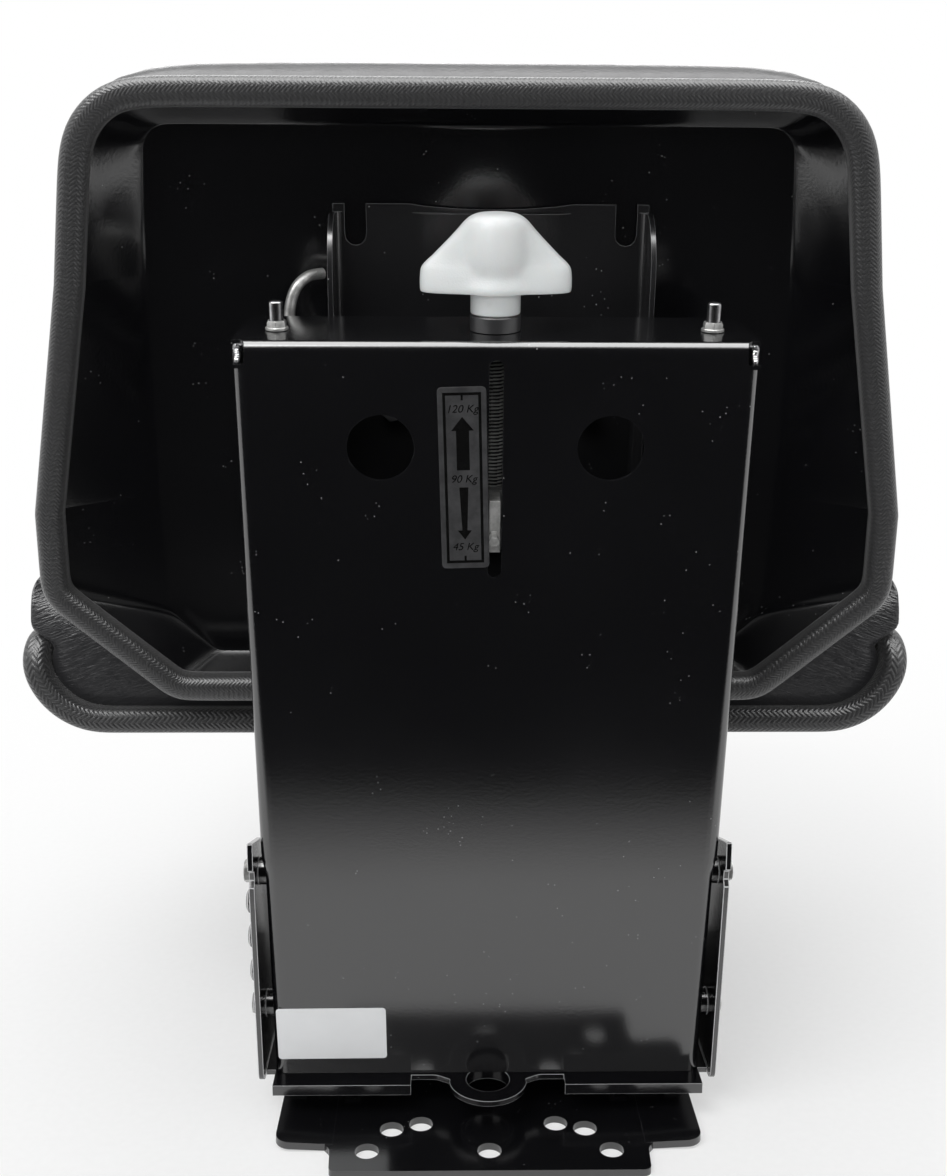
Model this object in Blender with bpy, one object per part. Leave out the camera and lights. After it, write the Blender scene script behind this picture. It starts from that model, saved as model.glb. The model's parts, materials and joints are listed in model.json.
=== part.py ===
"""Tractor suspension seat: a bucket seat on a leaning suspension box with a spindle weight
adjuster, on fore and aft slide rails and a drilled base plate. Units are metres, +Z is up, the
sitter faces -Y, and the origin is the middle of the base plate's underside.

Pieces of the leaning box are modelled in the upright frame, whose origin is the bottom middle
of the box's rear face: x across, d forward from that face, s up along it."""

import math

import bmesh
import bpy
from mathutils import Vector

GAP = 0.0003  # clearance between pieces that touch
SCREW_HOLE_R = 0.0043  # for the M8 screws

# Base plate
BASE_T = 0.004
BASE_REAR_Y = 0.161
BASE_FRONT_Y = -0.235
BASE_HALF_W = 0.1145
EAR_FOLD_X = 0.0880
EAR_FOLD_DEG = 3.0
EAR_REAR_Y = 0.138
TONGUE_HALF_W = 0.084
BOLT_HOLE_R = 0.0065
HOLE_ROWS = ((0.065, 0.1440), (0.0, 0.1440), (0.0526, 0.1247), (0.0368, 0.1200))

# Slide rails
RAIL_X = 0.092
RAIL_SHEET = 0.002
LOWER_RAIL_H = 0.012
LOWER_RAIL_HALF_W = 0.020
LOWER_RAIL_MOUTH = 0.0105
LOWER_RAIL_Y = (-0.225, 0.080)
UPPER_RAIL_Y = (-0.130, 0.072)
UPPER_RAIL_HALF_W = 0.016
UPPER_RAIL_STEM = 0.008
GLIDE_Y = (-0.120, 0.062)
RACK_HALF_W = 0.010
RACK_H = 0.008
RACK_Y = (-0.226, -0.076)
RACK_PITCH = 0.012
RACK_NOTCH = 0.006

# Foot plate
FOOT_T = 0.003
FOOT_FRONT_Y = -0.135
FOOT_HALF_W = 0.1237
STRIP_X = (0.0425, 0.1185)
STRIP_REACH = 0.012
TONGUE_R = 0.0215
TONGUE_REACH = 0.028
TONGUE_HOLE_R = 0.012

# Suspension box
BOX_Y = 0.100
LEAN_DEG = 9.3
BOX_H = 0.4096
BOX_D = 0.063
BOX_T = 0.0025
BOX_HALF_W = 0.120
BOX_LOW_HALF_W = 0.1183
JOGGLE_S = (0.125, 0.139)
BEND_R = 0.007
TOP_BEND_R = 0.005
PORT_X = 0.0534
PORT_S = BOX_H - 0.049
PORT_R = 0.01565
SLOT_W = 0.0065
SLOT_S = (BOX_H - 0.113, BOX_H - 0.008)
RELIEF_R = 0.0042

# Side plates
PLATE_X = 0.124
PLATE_T = 0.003
PLATE_BOLT_S = (0.031, 0.118)
PLATE_BOLT_D = 0.022

# Where the box's rear top edge stands; the seat and the backrest are placed from it
TOP_Y = BOX_Y + BOX_H * math.sin(math.radians(LEAN_DEG))
TOP_Z = 0.0229 + BOX_H * math.cos(math.radians(LEAN_DEG))

# Guide rods and carriage
ROD_X = 0.102
ROD_D = 0.028
ROD_R = 0.007
STUD_R = 0.0033
STUD_TOP = 0.0135
SOCKET_R = 0.011
SOCKET_TOP_S = 0.0123
STROKE = 0.080
CARRIAGE_S = (0.110, BOX_H - 0.1096)
TUBE_R = 0.0118
TUBE_BORE_R = 0.0090
CARRIAGE_PLATE_D = (0.0385, 0.0415)
STOP_RING_H = 0.012

# Weight adjuster
SPINDLE_D = 0.030
SPINDLE_R = 0.006
THREAD_PITCH = 0.00175
SHANK_R = 0.005
SPINDLE_FOOT_S = BOX_H - 0.108
NUT_S = (BOX_H - 0.1005, BOX_H - 0.075)
CROSS_BAR_HALF = 0.060
CROSS_BAR_T = 0.004
SPRING_X = 0.047
SPRING_D = 0.0245
SPRING_R = 0.0115
SPRING_WIRE_R = 0.0016
WASHER_T = 0.0010
KNOB_R = 0.0390
KNOB_H = 0.0375
KNOB_POINTS = 36
STEM_R = 0.0117
STEM_H = 0.0095

# Damper
DAMPER_D = 0.022
DAMPER_R = 0.011
DAMPER_ROD_R = 0.004
DAMPER_EYE_S = (0.022, CARRIAGE_S[1] - 0.032)
DAMPER_TUBE_TOP_S = 0.166
EYE_R = 0.009
EYE_HALF_W = 0.0085
PIN_R = 0.004
PIN_HALF_L = 0.018

# Carrier bracket and seat arms
WEB_D = 0.1180
BRACKET_T = 0.0025
BRACKET_BEND_R = 0.0065
BRACKET_HALF_W = 0.083
BRACKET_TOP_S = BOX_H + 0.048
WEB_LOW_S = BOX_H - 0.1956
FLANGE_DEPTH = 0.029
NOTCH_X = 0.070
NOTCH_W = 0.0112
NOTCH_DEPTH = 0.021
DISH_HALF_W = 0.042
DISH = 0.004
BACK_BOLT_X = 0.052
BACK_BOLT_S = (BOX_H - 0.1596, BOX_H - 0.0596)

# Backrest: levels on the upright frame, and half widths of rim, floor and cushion
SEAT_OFFSET_X = 0.011
RIM_S = (BOX_H - 0.2121, BOX_H + 0.1029)
RIM_LEVELS = (BOX_H - 0.1556, BOX_H - 0.1096, BOX_H + 0.0104)
RIM_HALF_W = (0.1620, 0.2250, 0.2235, 0.2010, 0.1885)
FLOOR_S = (BOX_H - 0.2056, BOX_H + 0.0854)
FLOOR_KNEE_S = BOX_H - 0.1836
FLOOR_HALF_W = (0.1440, 0.1660, 0.1680, 0.1680, 0.1640)
PAD_S = (BOX_H - 0.1656, BOX_H + 0.1054)
PAD_LEVELS = (BOX_H - 0.1246, BOX_H - 0.0796, BOX_H + 0.0104)
PAD_HALF_W = (0.1650, 0.2200, 0.2230, 0.2040, 0.1900)
PAD_FRONT_D = 0.172
PAD_BOLSTER = 0.020
PAD_LUMBAR = 0.010
SHEET_T = 0.0015
RIM_D = 0.084
RIM_LIP = 0.008
FLOOR_D = 0.1215
TRAY_CLEAR = 0.0022
TRIM_HALF_W = 0.0072
TRIM_OVER = 0.0060
TRIM_UNDER = 0.0070
BENT_TRIM_CLEAR = 0.0009

# Seat
SEAT_FLOOR_Z = TOP_Z - 0.2231
SEAT_REAR_Y = TOP_Y - 0.1432
SEAT_FRONT_Y = SEAT_REAR_Y - 0.408
SEAT_HALF_W = (0.2500, 0.2320)
SEAT_WALL_H = 0.045
SEAT_WALL_R = 0.040
SEAT_CORNER_R = 0.018
WALL_FADE = 0.62
FRONT_WALL_SHARE = 0.45
FRONT_CORNER = 0.035
FRONT_DROOP = 0.012
CUSHION_CLEAR = 0.0011
CUSHION_BULGE = 0.0035
CUSHION_NOSE = 0.0120
CUSHION_TOP_H = 0.058
CUSHION_BOLSTER = 0.022
REAR_CORNER_R = 0.034
FRONT_CORNER_R = 0.060
ARM_Z = (SEAT_FLOOR_Z - 0.0280, SEAT_FLOOR_Z - 0.0025)
ARM_T = 0.003
ARM_S = BOX_H - 0.2736
ARM_FRONT_Y = SEAT_FRONT_Y + 0.070
ARM_REAR_Y = SEAT_REAR_Y + 0.047
SEAT_BOLT_X = 0.068
SEAT_BOLT_Y = (SEAT_REAR_Y - 0.083, SEAT_REAR_Y - 0.293)

# Latch lever
LEVER_Y = -0.115
LEVER_Z = 0.0335
LEVER_PIN_R = 0.0030


def material(name, color, roughness, metallic=0.0):
    made = bpy.data.materials.new(name)
    made.use_nodes = True
    shader = made.node_tree.nodes["Principled BSDF"]
    shader.inputs["Base Color"].default_value = (*color, 1.0)
    shader.inputs["Roughness"].default_value = roughness
    shader.inputs["Metallic"].default_value = metallic
    made.diffuse_color = (*color, 1.0)
    return made


def clear_scene():
    for obj in list(bpy.data.objects):
        bpy.data.objects.remove(obj, do_unlink=True)


def empty(name, location, parent=None, tilt=0.0):
    made = bpy.data.objects.new(name, None)
    made.location = location
    made.rotation_euler = (tilt, 0.0, 0.0)
    made.parent = parent
    bpy.context.scene.collection.objects.link(made)
    return made


def finish(name, bm, paint, parent, location=(0.0, 0.0, 0.0)):
    """Makes an object of the bmesh, whose points are in its parent's frame, with its origin there."""
    bmesh.ops.recalc_face_normals(bm, faces=bm.faces)
    bmesh.ops.translate(bm, verts=bm.verts, vec=-Vector(location))
    mesh = bpy.data.meshes.new(name)
    bm.to_mesh(mesh)
    bm.free()
    mesh.shade_smooth()
    mesh.set_sharp_from_angle(angle=math.radians(35.0))
    mesh.materials.append(paint)
    obj = bpy.data.objects.new(name, mesh)
    obj.location = location
    obj.parent = parent
    bpy.context.scene.collection.objects.link(obj)
    return obj


def boolean(obj, other, operation):
    modifier = obj.modifiers.new(other.name, "BOOLEAN")
    modifier.operation = operation
    modifier.object = other
    other.hide_render = True
    other.display_type = "WIRE"


def cut(obj, *cutters):
    for cutter in cutters:
        boolean(obj, cutter, "DIFFERENCE")
    return obj


def join(obj, *others):
    for other in others:
        boolean(obj, other, "UNION")
    return obj


def arc(center, radius, start_deg, end_deg, steps):
    """Points on an arc, both ends included."""
    angles = [math.radians(start_deg + (end_deg - start_deg) * k / steps) for k in range(steps + 1)]
    return [(center[0] + radius * math.cos(a), center[1] + radius * math.sin(a)) for a in angles]


def rounded(corners, steps=4):
    """An outline of (a, b, radius) corners with each corner rounded."""
    points = []
    for k, (a, b, radius) in enumerate(corners):
        here = Vector((a, b))
        if radius <= 0.0:
            points.append((a, b))
            continue
        before = (Vector(corners[k - 1][:2]) - here).normalized()
        after = (Vector(corners[(k + 1) % len(corners)][:2]) - here).normalized()
        half = before.angle(after) / 2
        reach = radius / math.tan(half)
        center = here + (before + after).normalized() * radius / math.sin(half)
        first = here + before * reach - center
        turn = first.angle_signed(here + after * reach - center)
        for step in range(steps + 1):
            angle = -turn * step / steps
            x = first.x * math.cos(angle) - first.y * math.sin(angle)
            y = first.x * math.sin(angle) + first.y * math.cos(angle)
            points.append((center.x + x, center.y + y))
    return points


def mirrored(half):
    """A closed outline from its right half, given from one end of the centre line to the other."""
    left = [(-corner[0], *corner[1:]) for corner in reversed(half) if corner[0] > 1e-9]
    return list(half) + left


PLANES = {
    "xy": lambda a, b, t: (a, b, t),
    "xz": lambda a, b, t: (a, t, b),
    "yz": lambda a, b, t: (t, a, b),
    "xs": lambda a, b, t: (a, -t, b),
    "ds": lambda a, b, t: (t, -a, b),
    "xd": lambda a, b, t: (a, -b, t),
}


def extrusion(outlines, low, high, plane):
    """Each outline pushed from low to high along the axis that its plane leaves out."""
    place = PLANES[plane]
    bm = bmesh.new()
    for outline in outlines:
        face = bm.faces.new([bm.verts.new(place(a, b, low)) for a, b in outline])
        pushed = bmesh.ops.extrude_face_region(bm, geom=[face])["geom"]
        tops = [item for item in pushed if isinstance(item, bmesh.types.BMVert)]
        step = Vector(place(0.0, 0.0, high)) - Vector(place(0.0, 0.0, low))
        bmesh.ops.translate(bm, verts=tops, vec=step)
    return bm


def prism(name, outline, low, high, plane, paint, parent=None, location=(0.0, 0.0, 0.0)):
    return finish(name, extrusion([outline], low, high, plane), paint, parent, location)


def rectangle(a0, a1, b0, b1):
    return [(a0, b0), (a1, b0), (a1, b1), (a0, b1)]


def circle(a, b, radius, steps=20):
    return arc((a, b), radius, 0.0, 360.0 - 360.0 / steps, steps - 1)


def cutter(name, outlines, low, high, plane, parent=None):
    return finish(name, extrusion(outlines, low, high, plane), BLACK, parent)


def loft(rings, closed=False, open_start=False, split=False):
    """Skins rings of equal length. Ends are capped unless the loft is closed on itself."""
    bm = bmesh.new()
    rows = [[bm.verts.new(point) for point in ring] for ring in rings]
    if closed:
        rows.append(rows[0])
    for below, above in zip(rows, rows[1:]):
        for k, vert in enumerate(below):
            after = (k + 1) % len(below)
            if split:
                bm.faces.new((vert, below[after], above[after]))
                bm.faces.new((vert, above[after], above[k]))
            else:
                bm.faces.new((vert, below[after], above[after], above[k]))
    if not closed:
        bm.faces.new(rows[-1])
        if not open_start:
            bm.faces.new(rows[0])
    return bm


def turned(name, profile, center, paint, parent, steps=20, bore=None, location=None):
    """A turned piece on the parent's z: profile gives (radius, height), bore its inner radius."""
    spots = [(radius, height) for radius, height in profile]
    if bore is not None:
        spots += [(bore, profile[-1][1]), (bore, profile[0][1])]
    rings = []
    for radius, height in spots:
        rings.append([(*point, height) for point in circle(center[0], center[1], radius, steps)])
    origin = location or (center[0], center[1], profile[0][1])
    return finish(name, loft(rings, closed=bore is not None), paint, parent, origin)


def tube_along(path, radius, sides):
    """A round bar through the points of a path, with flat ends."""
    rings = []
    across = None
    for k, point in enumerate(path):
        ahead = Vector(path[min(k + 1, len(path) - 1)]) - Vector(path[max(k - 1, 0)])
        ahead.normalize()
        if across is None:
            across = ahead.orthogonal().normalized()
        across = (across - ahead * across.dot(ahead)).normalized()
        other = ahead.cross(across)
        ring = []
        for side in range(sides):
            angle = 2 * math.pi * side / sides
            offset = (across * math.cos(angle) + other * math.sin(angle)) * radius
            ring.append(Vector(point) + offset)
        rings.append(ring)
    return loft(rings)


def hex_bolt(name, seat, direction, length, paint, parent, shank_r=0.004, head=(0.0065, 0.005)):
    """A hex bolt whose head stands on seat and whose shank runs from there along direction."""
    along = Vector(direction).normalized()
    across = along.orthogonal().normalized()
    other = along.cross(across)
    corner_r, head_h = head

    def ring(radius, depth, hexagonal):
        points = []
        for k in range(12):
            share = math.cos(math.pi / 6) if hexagonal and k % 2 else 1.0
            angle = math.pi * k / 6
            offset = (across * math.cos(angle) + other * math.sin(angle)) * radius * share
            points.append(Vector(seat) + along * depth + offset)
        return points

    rings = [
        ring(corner_r * 0.86, -head_h, False),
        ring(corner_r, -head_h * 0.86, True),
        ring(corner_r, 0.0, True),
        ring(shank_r, 0.0, False),
        ring(shank_r, length, False),
    ]
    return finish(name, loft(rings), paint, parent, seat)


def base_plate():
    """The drilled plate with its rear tongue, and the two ears folded up a little beside it."""
    half = [
        (0.0, BASE_REAR_Y, 0.0),
        (TONGUE_HALF_W, BASE_REAR_Y, 0.004),
        (TONGUE_HALF_W + 0.001, EAR_REAR_Y + 0.004, 0.006),
        (EAR_FOLD_X, EAR_REAR_Y, 0.0),
        (EAR_FOLD_X, 0.088, 0.0),
        (BASE_HALF_W, 0.086, 0.0),
        (BASE_HALF_W, BASE_FRONT_Y, 0.012),
        (0.0, BASE_FRONT_Y, 0.0),
    ]
    plate = prism("base_plate", rounded(mirrored(half)), 0.0, BASE_T, "xy", BLACK)
    for side in (1, -1):
        inner, outer = EAR_FOLD_X - 0.004, BASE_HALF_W
        corners = [
            (inner, 0.086, 0.0),
            (outer, 0.086, 0.0),
            (outer + 0.0005, EAR_REAR_Y, 0.008),
            (inner, EAR_REAR_Y, 0.0),
        ]
        outline = [(side * a, b) for a, b in rounded(corners)]
        ear = prism(
            f"ear_{side}", outline, 0.0, BASE_T, "xy", BLACK, location=(side * EAR_FOLD_X, 0.0, 0.0)
        )
        ear.location.z = GAP
        ear.rotation_euler.y = -side * math.radians(EAR_FOLD_DEG)
        join(plate, ear)
    holes = []
    for x, y in HOLE_ROWS:
        for side in (1, -1) if x else (1,):
            holes.append(circle(side * x, y, BOLT_HOLE_R, 14))
            holes.append(circle(side * x, BASE_REAR_Y + BASE_FRONT_Y - y, BOLT_HOLE_R, 14))
    cut(plate, cutter("base_holes", holes, -0.01, 0.02, "xy"))


def rails():
    """Lower C rails, upper hat rails inside them and the plastic glides between the two."""
    floor_z = BASE_T + GAP
    lip_z = floor_z + LOWER_RAIL_H
    wide, mouth, sheet = LOWER_RAIL_HALF_W, LOWER_RAIL_MOUTH, RAIL_SHEET
    lower = mirrored(
        [
            (0.0, floor_z),
            (wide, floor_z),
            (wide, lip_z),
            (mouth, lip_z),
            (mouth, lip_z - sheet),
            (wide - sheet, lip_z - sheet),
            (wide - sheet, floor_z + sheet),
            (0.0, floor_z + sheet),
        ]
    )
    brim_z = floor_z + sheet + 0.0020
    top_z = FOOT_Z - GAP
    stem = UPPER_RAIL_STEM
    upper = mirrored(
        [
            (0.0, top_z),
            (stem, top_z),
            (stem, brim_z + sheet),
            (UPPER_RAIL_HALF_W, brim_z + sheet),
            (UPPER_RAIL_HALF_W, brim_z),
            (stem - sheet, brim_z),
            (stem - sheet, top_z - sheet),
            (0.0, top_z - sheet),
        ]
    )
    glide_low = floor_z + sheet + GAP
    glide_top = lip_z - sheet - GAP
    reach = wide - sheet - GAP
    for side, word in ((1, "left"), (-1, "right")):
        place = side * RAIL_X
        low = [(place + a, b) for a, b in lower]
        high = [(place + a, b) for a, b in upper]
        prism(f"lower_rail_{word}", low, *LOWER_RAIL_Y, "xz", GREY_STEEL)
        prism(f"upper_rail_{word}", high, *UPPER_RAIL_Y, "xz", GREY_STEEL, SLIDE)
        tip = UPPER_RAIL_HALF_W + GAP
        inner = stem + 0.003
        glide = [
            (inner, glide_low),
            (reach, glide_low),
            (reach, glide_top),
            (inner, glide_top),
            (inner, brim_z + sheet + GAP),
            (tip, brim_z + sheet + GAP),
            (tip, brim_z - GAP),
            (inner, brim_z - GAP),
        ]
        section = [(place + side * a, b) for a, b in glide]
        prism(f"glide_{word}", section, *GLIDE_Y, "xz", WHITE_PLASTIC, SLIDE)


def latch_rack():
    """The notched bar that locks the slide, on the base plate between the rails."""
    low = BASE_T + GAP
    top = low + RACK_H
    outline = [(RACK_Y[0], low), (RACK_Y[1], low), (RACK_Y[1], top)]
    count = int((RACK_Y[1] - RACK_Y[0]) / RACK_PITCH) - 1
    middle = (RACK_Y[0] + RACK_Y[1]) / 2
    for k in range(count):
        center = middle + RACK_PITCH * ((count - 1) / 2 - k)
        outline += [
            (center + RACK_NOTCH / 2, top),
            (center + RACK_NOTCH / 2 - 0.0005, top - RACK_H * 0.6),
            (center - RACK_NOTCH / 2 + 0.0005, top - RACK_H * 0.6),
            (center - RACK_NOTCH / 2, top),
        ]
    outline.append((RACK_Y[0], top))
    prism("latch_rack", outline, -RACK_HALF_W, RACK_HALF_W, "yz", GREY_STEEL)


def foot_plate():
    """The folded floor of the sliding part, with two rear strips and the round drilled tongue."""
    inner, outer = STRIP_X
    corners = [
        (0.0, FOOT_FRONT_Y, 0.0),
        (FOOT_HALF_W, FOOT_FRONT_Y, 0.006),
        (FOOT_HALF_W, BOX_Y - 0.004, 0.0),
        (outer, BOX_Y - 0.004, 0.0),
        (outer, BOX_Y + STRIP_REACH, 0.0),
        (inner, BOX_Y + STRIP_REACH, 0.0),
        (inner, BOX_Y + 0.002, 0.0),
        (TONGUE_R + 0.007, BOX_Y + 0.002, 0.008),
        (TONGUE_R, BOX_Y + 0.006, 0.005),
    ]
    half = rounded(corners + [(0.0, BOX_Y + TONGUE_REACH, 0.0)])[:-1]
    tip = arc((0.0, BOX_Y + TONGUE_REACH - TONGUE_R), TONGUE_R, 8.0, 90.0, 8)
    plate = prism("foot_plate", mirrored(half + tip), FOOT_Z, FOOT_Z + FOOT_T, "xy", BLACK, SLIDE)
    hole_y = BOX_Y + TONGUE_REACH - TONGUE_R
    wall = TONGUE_HOLE_R + 0.0025
    collar_outline = [circle(0.0, hole_y, wall, 20)]
    collar = cutter("collar", collar_outline, FOOT_Z - 0.004, FOOT_Z + 0.001, "xy", SLIDE)
    strip_y = BOX_Y + STRIP_REACH
    lips = [rectangle(side * inner, side * outer, strip_y - 0.002, strip_y) for side in (1, -1)]
    lip = cutter("strip_lips", lips, FOOT_Z - 0.003, FOOT_Z + 0.001, "xy", SLIDE)
    join(plate, collar, lip)
    hole = [circle(0.0, hole_y, TONGUE_HOLE_R, 20)]
    cut(plate, cutter("tongue_hole", hole, 0.0, 0.04, "xy", SLIDE))


def box_section(half_width, s):
    """The folded U of the rear cover and its side flanges at one height."""
    bend, sheet = BEND_R, BOX_T
    half = arc((half_width - bend, bend), bend, -90.0, 0.0, 4)
    half += [(half_width, BOX_D), (half_width - sheet, BOX_D)]
    half += arc((half_width - bend, bend), bend - sheet, 0.0, -90.0, 4)
    return [(a, -b, s) for a, b in mirrored(half)]


def suspension_box():
    """The rear cover folded from one sheet: side flanges, a top flange and round corner reliefs."""
    low = -0.02
    rings = [box_section(BOX_LOW_HALF_W, low), box_section(BOX_LOW_HALF_W, JOGGLE_S[0])]
    rings += [box_section(BOX_HALF_W, JOGGLE_S[1]), box_section(BOX_HALF_W, BOX_H - TOP_BEND_R)]
    box = finish("suspension_box", loft(rings), BLACK, UPRIGHT)

    bend, sheet = TOP_BEND_R, BOX_T
    profile = [(0.0, BOX_H - 0.012)]
    profile += arc((bend, BOX_H - bend), bend, 180.0, 90.0, 5)
    profile += [(BOX_D, BOX_H), (BOX_D, BOX_H - sheet)]
    profile += arc((bend, BOX_H - bend), bend - sheet, 90.0, 180.0, 5)
    profile += [(sheet, BOX_H - 0.012)]
    reach = BOX_HALF_W - 0.0004
    top = prism("top_flange", profile, -reach, reach, "ds", BLACK, UPRIGHT)
    join(box, top)

    front_corners = []
    for side in (1, -1):
        corner = arc((reach - 0.012, BOX_D - 0.012), 0.012, 0.0, 90.0, 5)
        corner += [(reach - 0.012, BOX_D + 0.01), (reach + 0.01, BOX_D + 0.01)]
        corner.append((reach + 0.01, BOX_D - 0.012))
        front_corners.append([(side * a, b) for a, b in corner])
    reliefs = [circle(side * (BOX_HALF_W - 0.002), 0.001, RELIEF_R, 16) for side in (1, -1)]
    holes = [circle(0.0, SPINDLE_D, SHANK_R + GAP, 16)]
    holes += [circle(side * ROD_X, ROD_D, STUD_R + GAP, 12) for side in (1, -1)]
    plate_low = BOX_H - TOP_BEND_R - 0.0015
    floor = cutter("box_floor", [rectangle(-0.2, 0.2, -0.1, 0.3)], -0.1, BOX_Z, "xy")
    ports = [circle(side * PORT_X, PORT_S, PORT_R, 24) for side in (1, -1)]
    slot = arc((0.0, SLOT_S[1] - SLOT_W / 2), SLOT_W / 2, 0.0, 180.0, 6)
    slot += arc((0.0, SLOT_S[0] + SLOT_W / 2), SLOT_W / 2, 180.0, 360.0, 6)
    bolts = [circle(PLATE_BOLT_D, s, SCREW_HOLE_R, 12) for s in PLATE_BOLT_S]
    cut(
        box,
        floor,
        cutter("ports", ports + [slot], -0.02, 0.010, "xs", UPRIGHT),
        cutter("front_corners", front_corners, plate_low, BOX_H + 0.01, "xd", UPRIGHT),
        cutter("reliefs", reliefs, BOX_H - 0.010, BOX_H + 0.01, "xd", UPRIGHT),
        cutter("top_holes", holes, BOX_H - 0.006, BOX_H + 0.01, "xd", UPRIGHT),
        cutter("box_bolt_holes", bolts, -0.2, 0.2, "ds", UPRIGHT),
    )


def side_plates():
    """The plates that tie the box to the foot plate, with their bolts; the left one is embossed."""
    lean = math.radians(LEAN_DEG)

    def spot(d, s):
        y = BOX_Y + s * math.sin(lean) - d * math.cos(lean)
        return (y, BOX_Z + s * math.cos(lean) + d * math.sin(lean))

    corners = [
        (BOX_Y + 0.004, FOOT_Z - 0.001, 0.008),
        (*spot(0.002, 0.120), 0.0),
        (*spot(0.005, 0.123), 0.0),
        (*spot(0.005, 0.128), 0.0),
        (*spot(0.001, 0.131), 0.0),
        (*spot(0.004, 0.146), 0.001),
        (*spot(0.040, 0.128), 0.010),
        (BOX_Y - 0.075, BOX_Z + 0.045, 0.030),
        (FOOT_FRONT_Y + 0.002, BOX_Z + 0.014, 0.006),
        (FOOT_FRONT_Y + 0.002, FOOT_Z - 0.001, 0.003),
    ]
    for side, word in ((1, "left"), (-1, "right")):
        edges = sorted((side * PLATE_X, side * (PLATE_X + PLATE_T)))
        plate = prism(f"side_plate_{word}", rounded(corners), *edges, "yz", BLACK, SLIDE)
        if side > 0:
            for k, s in enumerate((0.108, 0.086, 0.064, 0.042)):
                dome = turned(
                    f"emboss_{k}",
                    [(0.0070, -0.0010), (0.0066, 0.0004), (0.0045, 0.0014), (0.0015, 0.0018)],
                    (0.0, 0.0),
                    BLACK,
                    UPRIGHT,
                    steps=12,
                )
                dome.location = (PLATE_X + PLATE_T, -0.009, s)
                dome.rotation_euler = (0.0, math.radians(90.0), 0.0)
                join(plate, dome)
        spacers = [circle(PLATE_BOLT_D, s, 0.0075, 16) for s in PLATE_BOLT_S]
        reach = sorted((side * (BOX_LOW_HALF_W + GAP), side * (PLATE_X + 0.001)))
        join(plate, cutter(f"spacers_{word}", spacers, *reach, "ds", UPRIGHT))
        holes = [circle(PLATE_BOLT_D, s, SCREW_HOLE_R, 12) for s in PLATE_BOLT_S]
        cut(plate, cutter(f"plate_holes_{word}", holes, -0.2, 0.2, "ds", UPRIGHT))
        for s, row in zip(PLATE_BOLT_S, ("lower", "upper")):
            seat = (side * (PLATE_X + PLATE_T + GAP), -PLATE_BOLT_D, s)
            name = f"plate_bolt_{row}_{word}"
            hex_bolt(name, seat, (-side, 0.0, 0.0), 0.0125, ZINC, UPRIGHT, head=(0.0065, 0.0045))


def guide_rods():
    """Rods from their foot sockets to the top flange, with buffers, stops and stud nuts."""
    top = BOX_H - BOX_T - GAP
    for side, word in ((1, "left"), (-1, "right")):
        center = (side * ROD_X, -ROD_D)
        stud_top = BOX_H + STUD_TOP
        sleeve = CARRIAGE_S[1] + STOP_RING_H + GAP
        profile = [
            (ROD_R - 0.001, 0.0),
            (ROD_R, 0.001),
            (ROD_R, sleeve),
            (0.0100, sleeve),
            (0.0100, top),
            (STUD_R, top),
            (STUD_R, stud_top - 0.001),
            (STUD_R - 0.001, stud_top),
        ]
        turned(f"guide_rod_{word}", profile, center, BRIGHT_STEEL, UPRIGHT, 16)
        nut = [(0.0050, BOX_H + GAP), (0.0050, BOX_H + 0.0012), (0.0044, BOX_H + 0.0045)]
        turned(f"rod_nut_{word}", nut, center, ZINC, UPRIGHT, 12, bore=STUD_R + GAP)
        bore = ROD_R + GAP
        low = CARRIAGE_S[0] - STROKE - GAP
        socket = turned(
            f"rod_socket_{word}",
            [(SOCKET_R, -0.012), (SOCKET_R, SOCKET_TOP_S)],
            center,
            BLACK,
            UPRIGHT,
            16,
        )
        hollow = [circle(center[0], ROD_D, bore, 16)]
        cut(
            socket,
            cutter(f"socket_bore_{word}", hollow, -GAP, 0.03, "xd", UPRIGHT),
            cutter(f"socket_floor_{word}", [rectangle(-0.2, 0.2, -0.1, 0.3)], -0.1, BOX_Z, "xy"),
        )
        for name, reach in (
            ("lower_buffer", (SOCKET_TOP_S + GAP, low)),
            ("stop_ring", (CARRIAGE_S[1] + GAP, CARRIAGE_S[1] + STOP_RING_H)),
        ):
            ring = [(0.0112, reach[0]), (0.0118, (reach[0] + reach[1]) / 2), (0.0112, reach[1])]
            turned(f"{name}_{word}", ring, center, RUBBER, UPRIGHT, 16, bore=bore)


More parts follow.
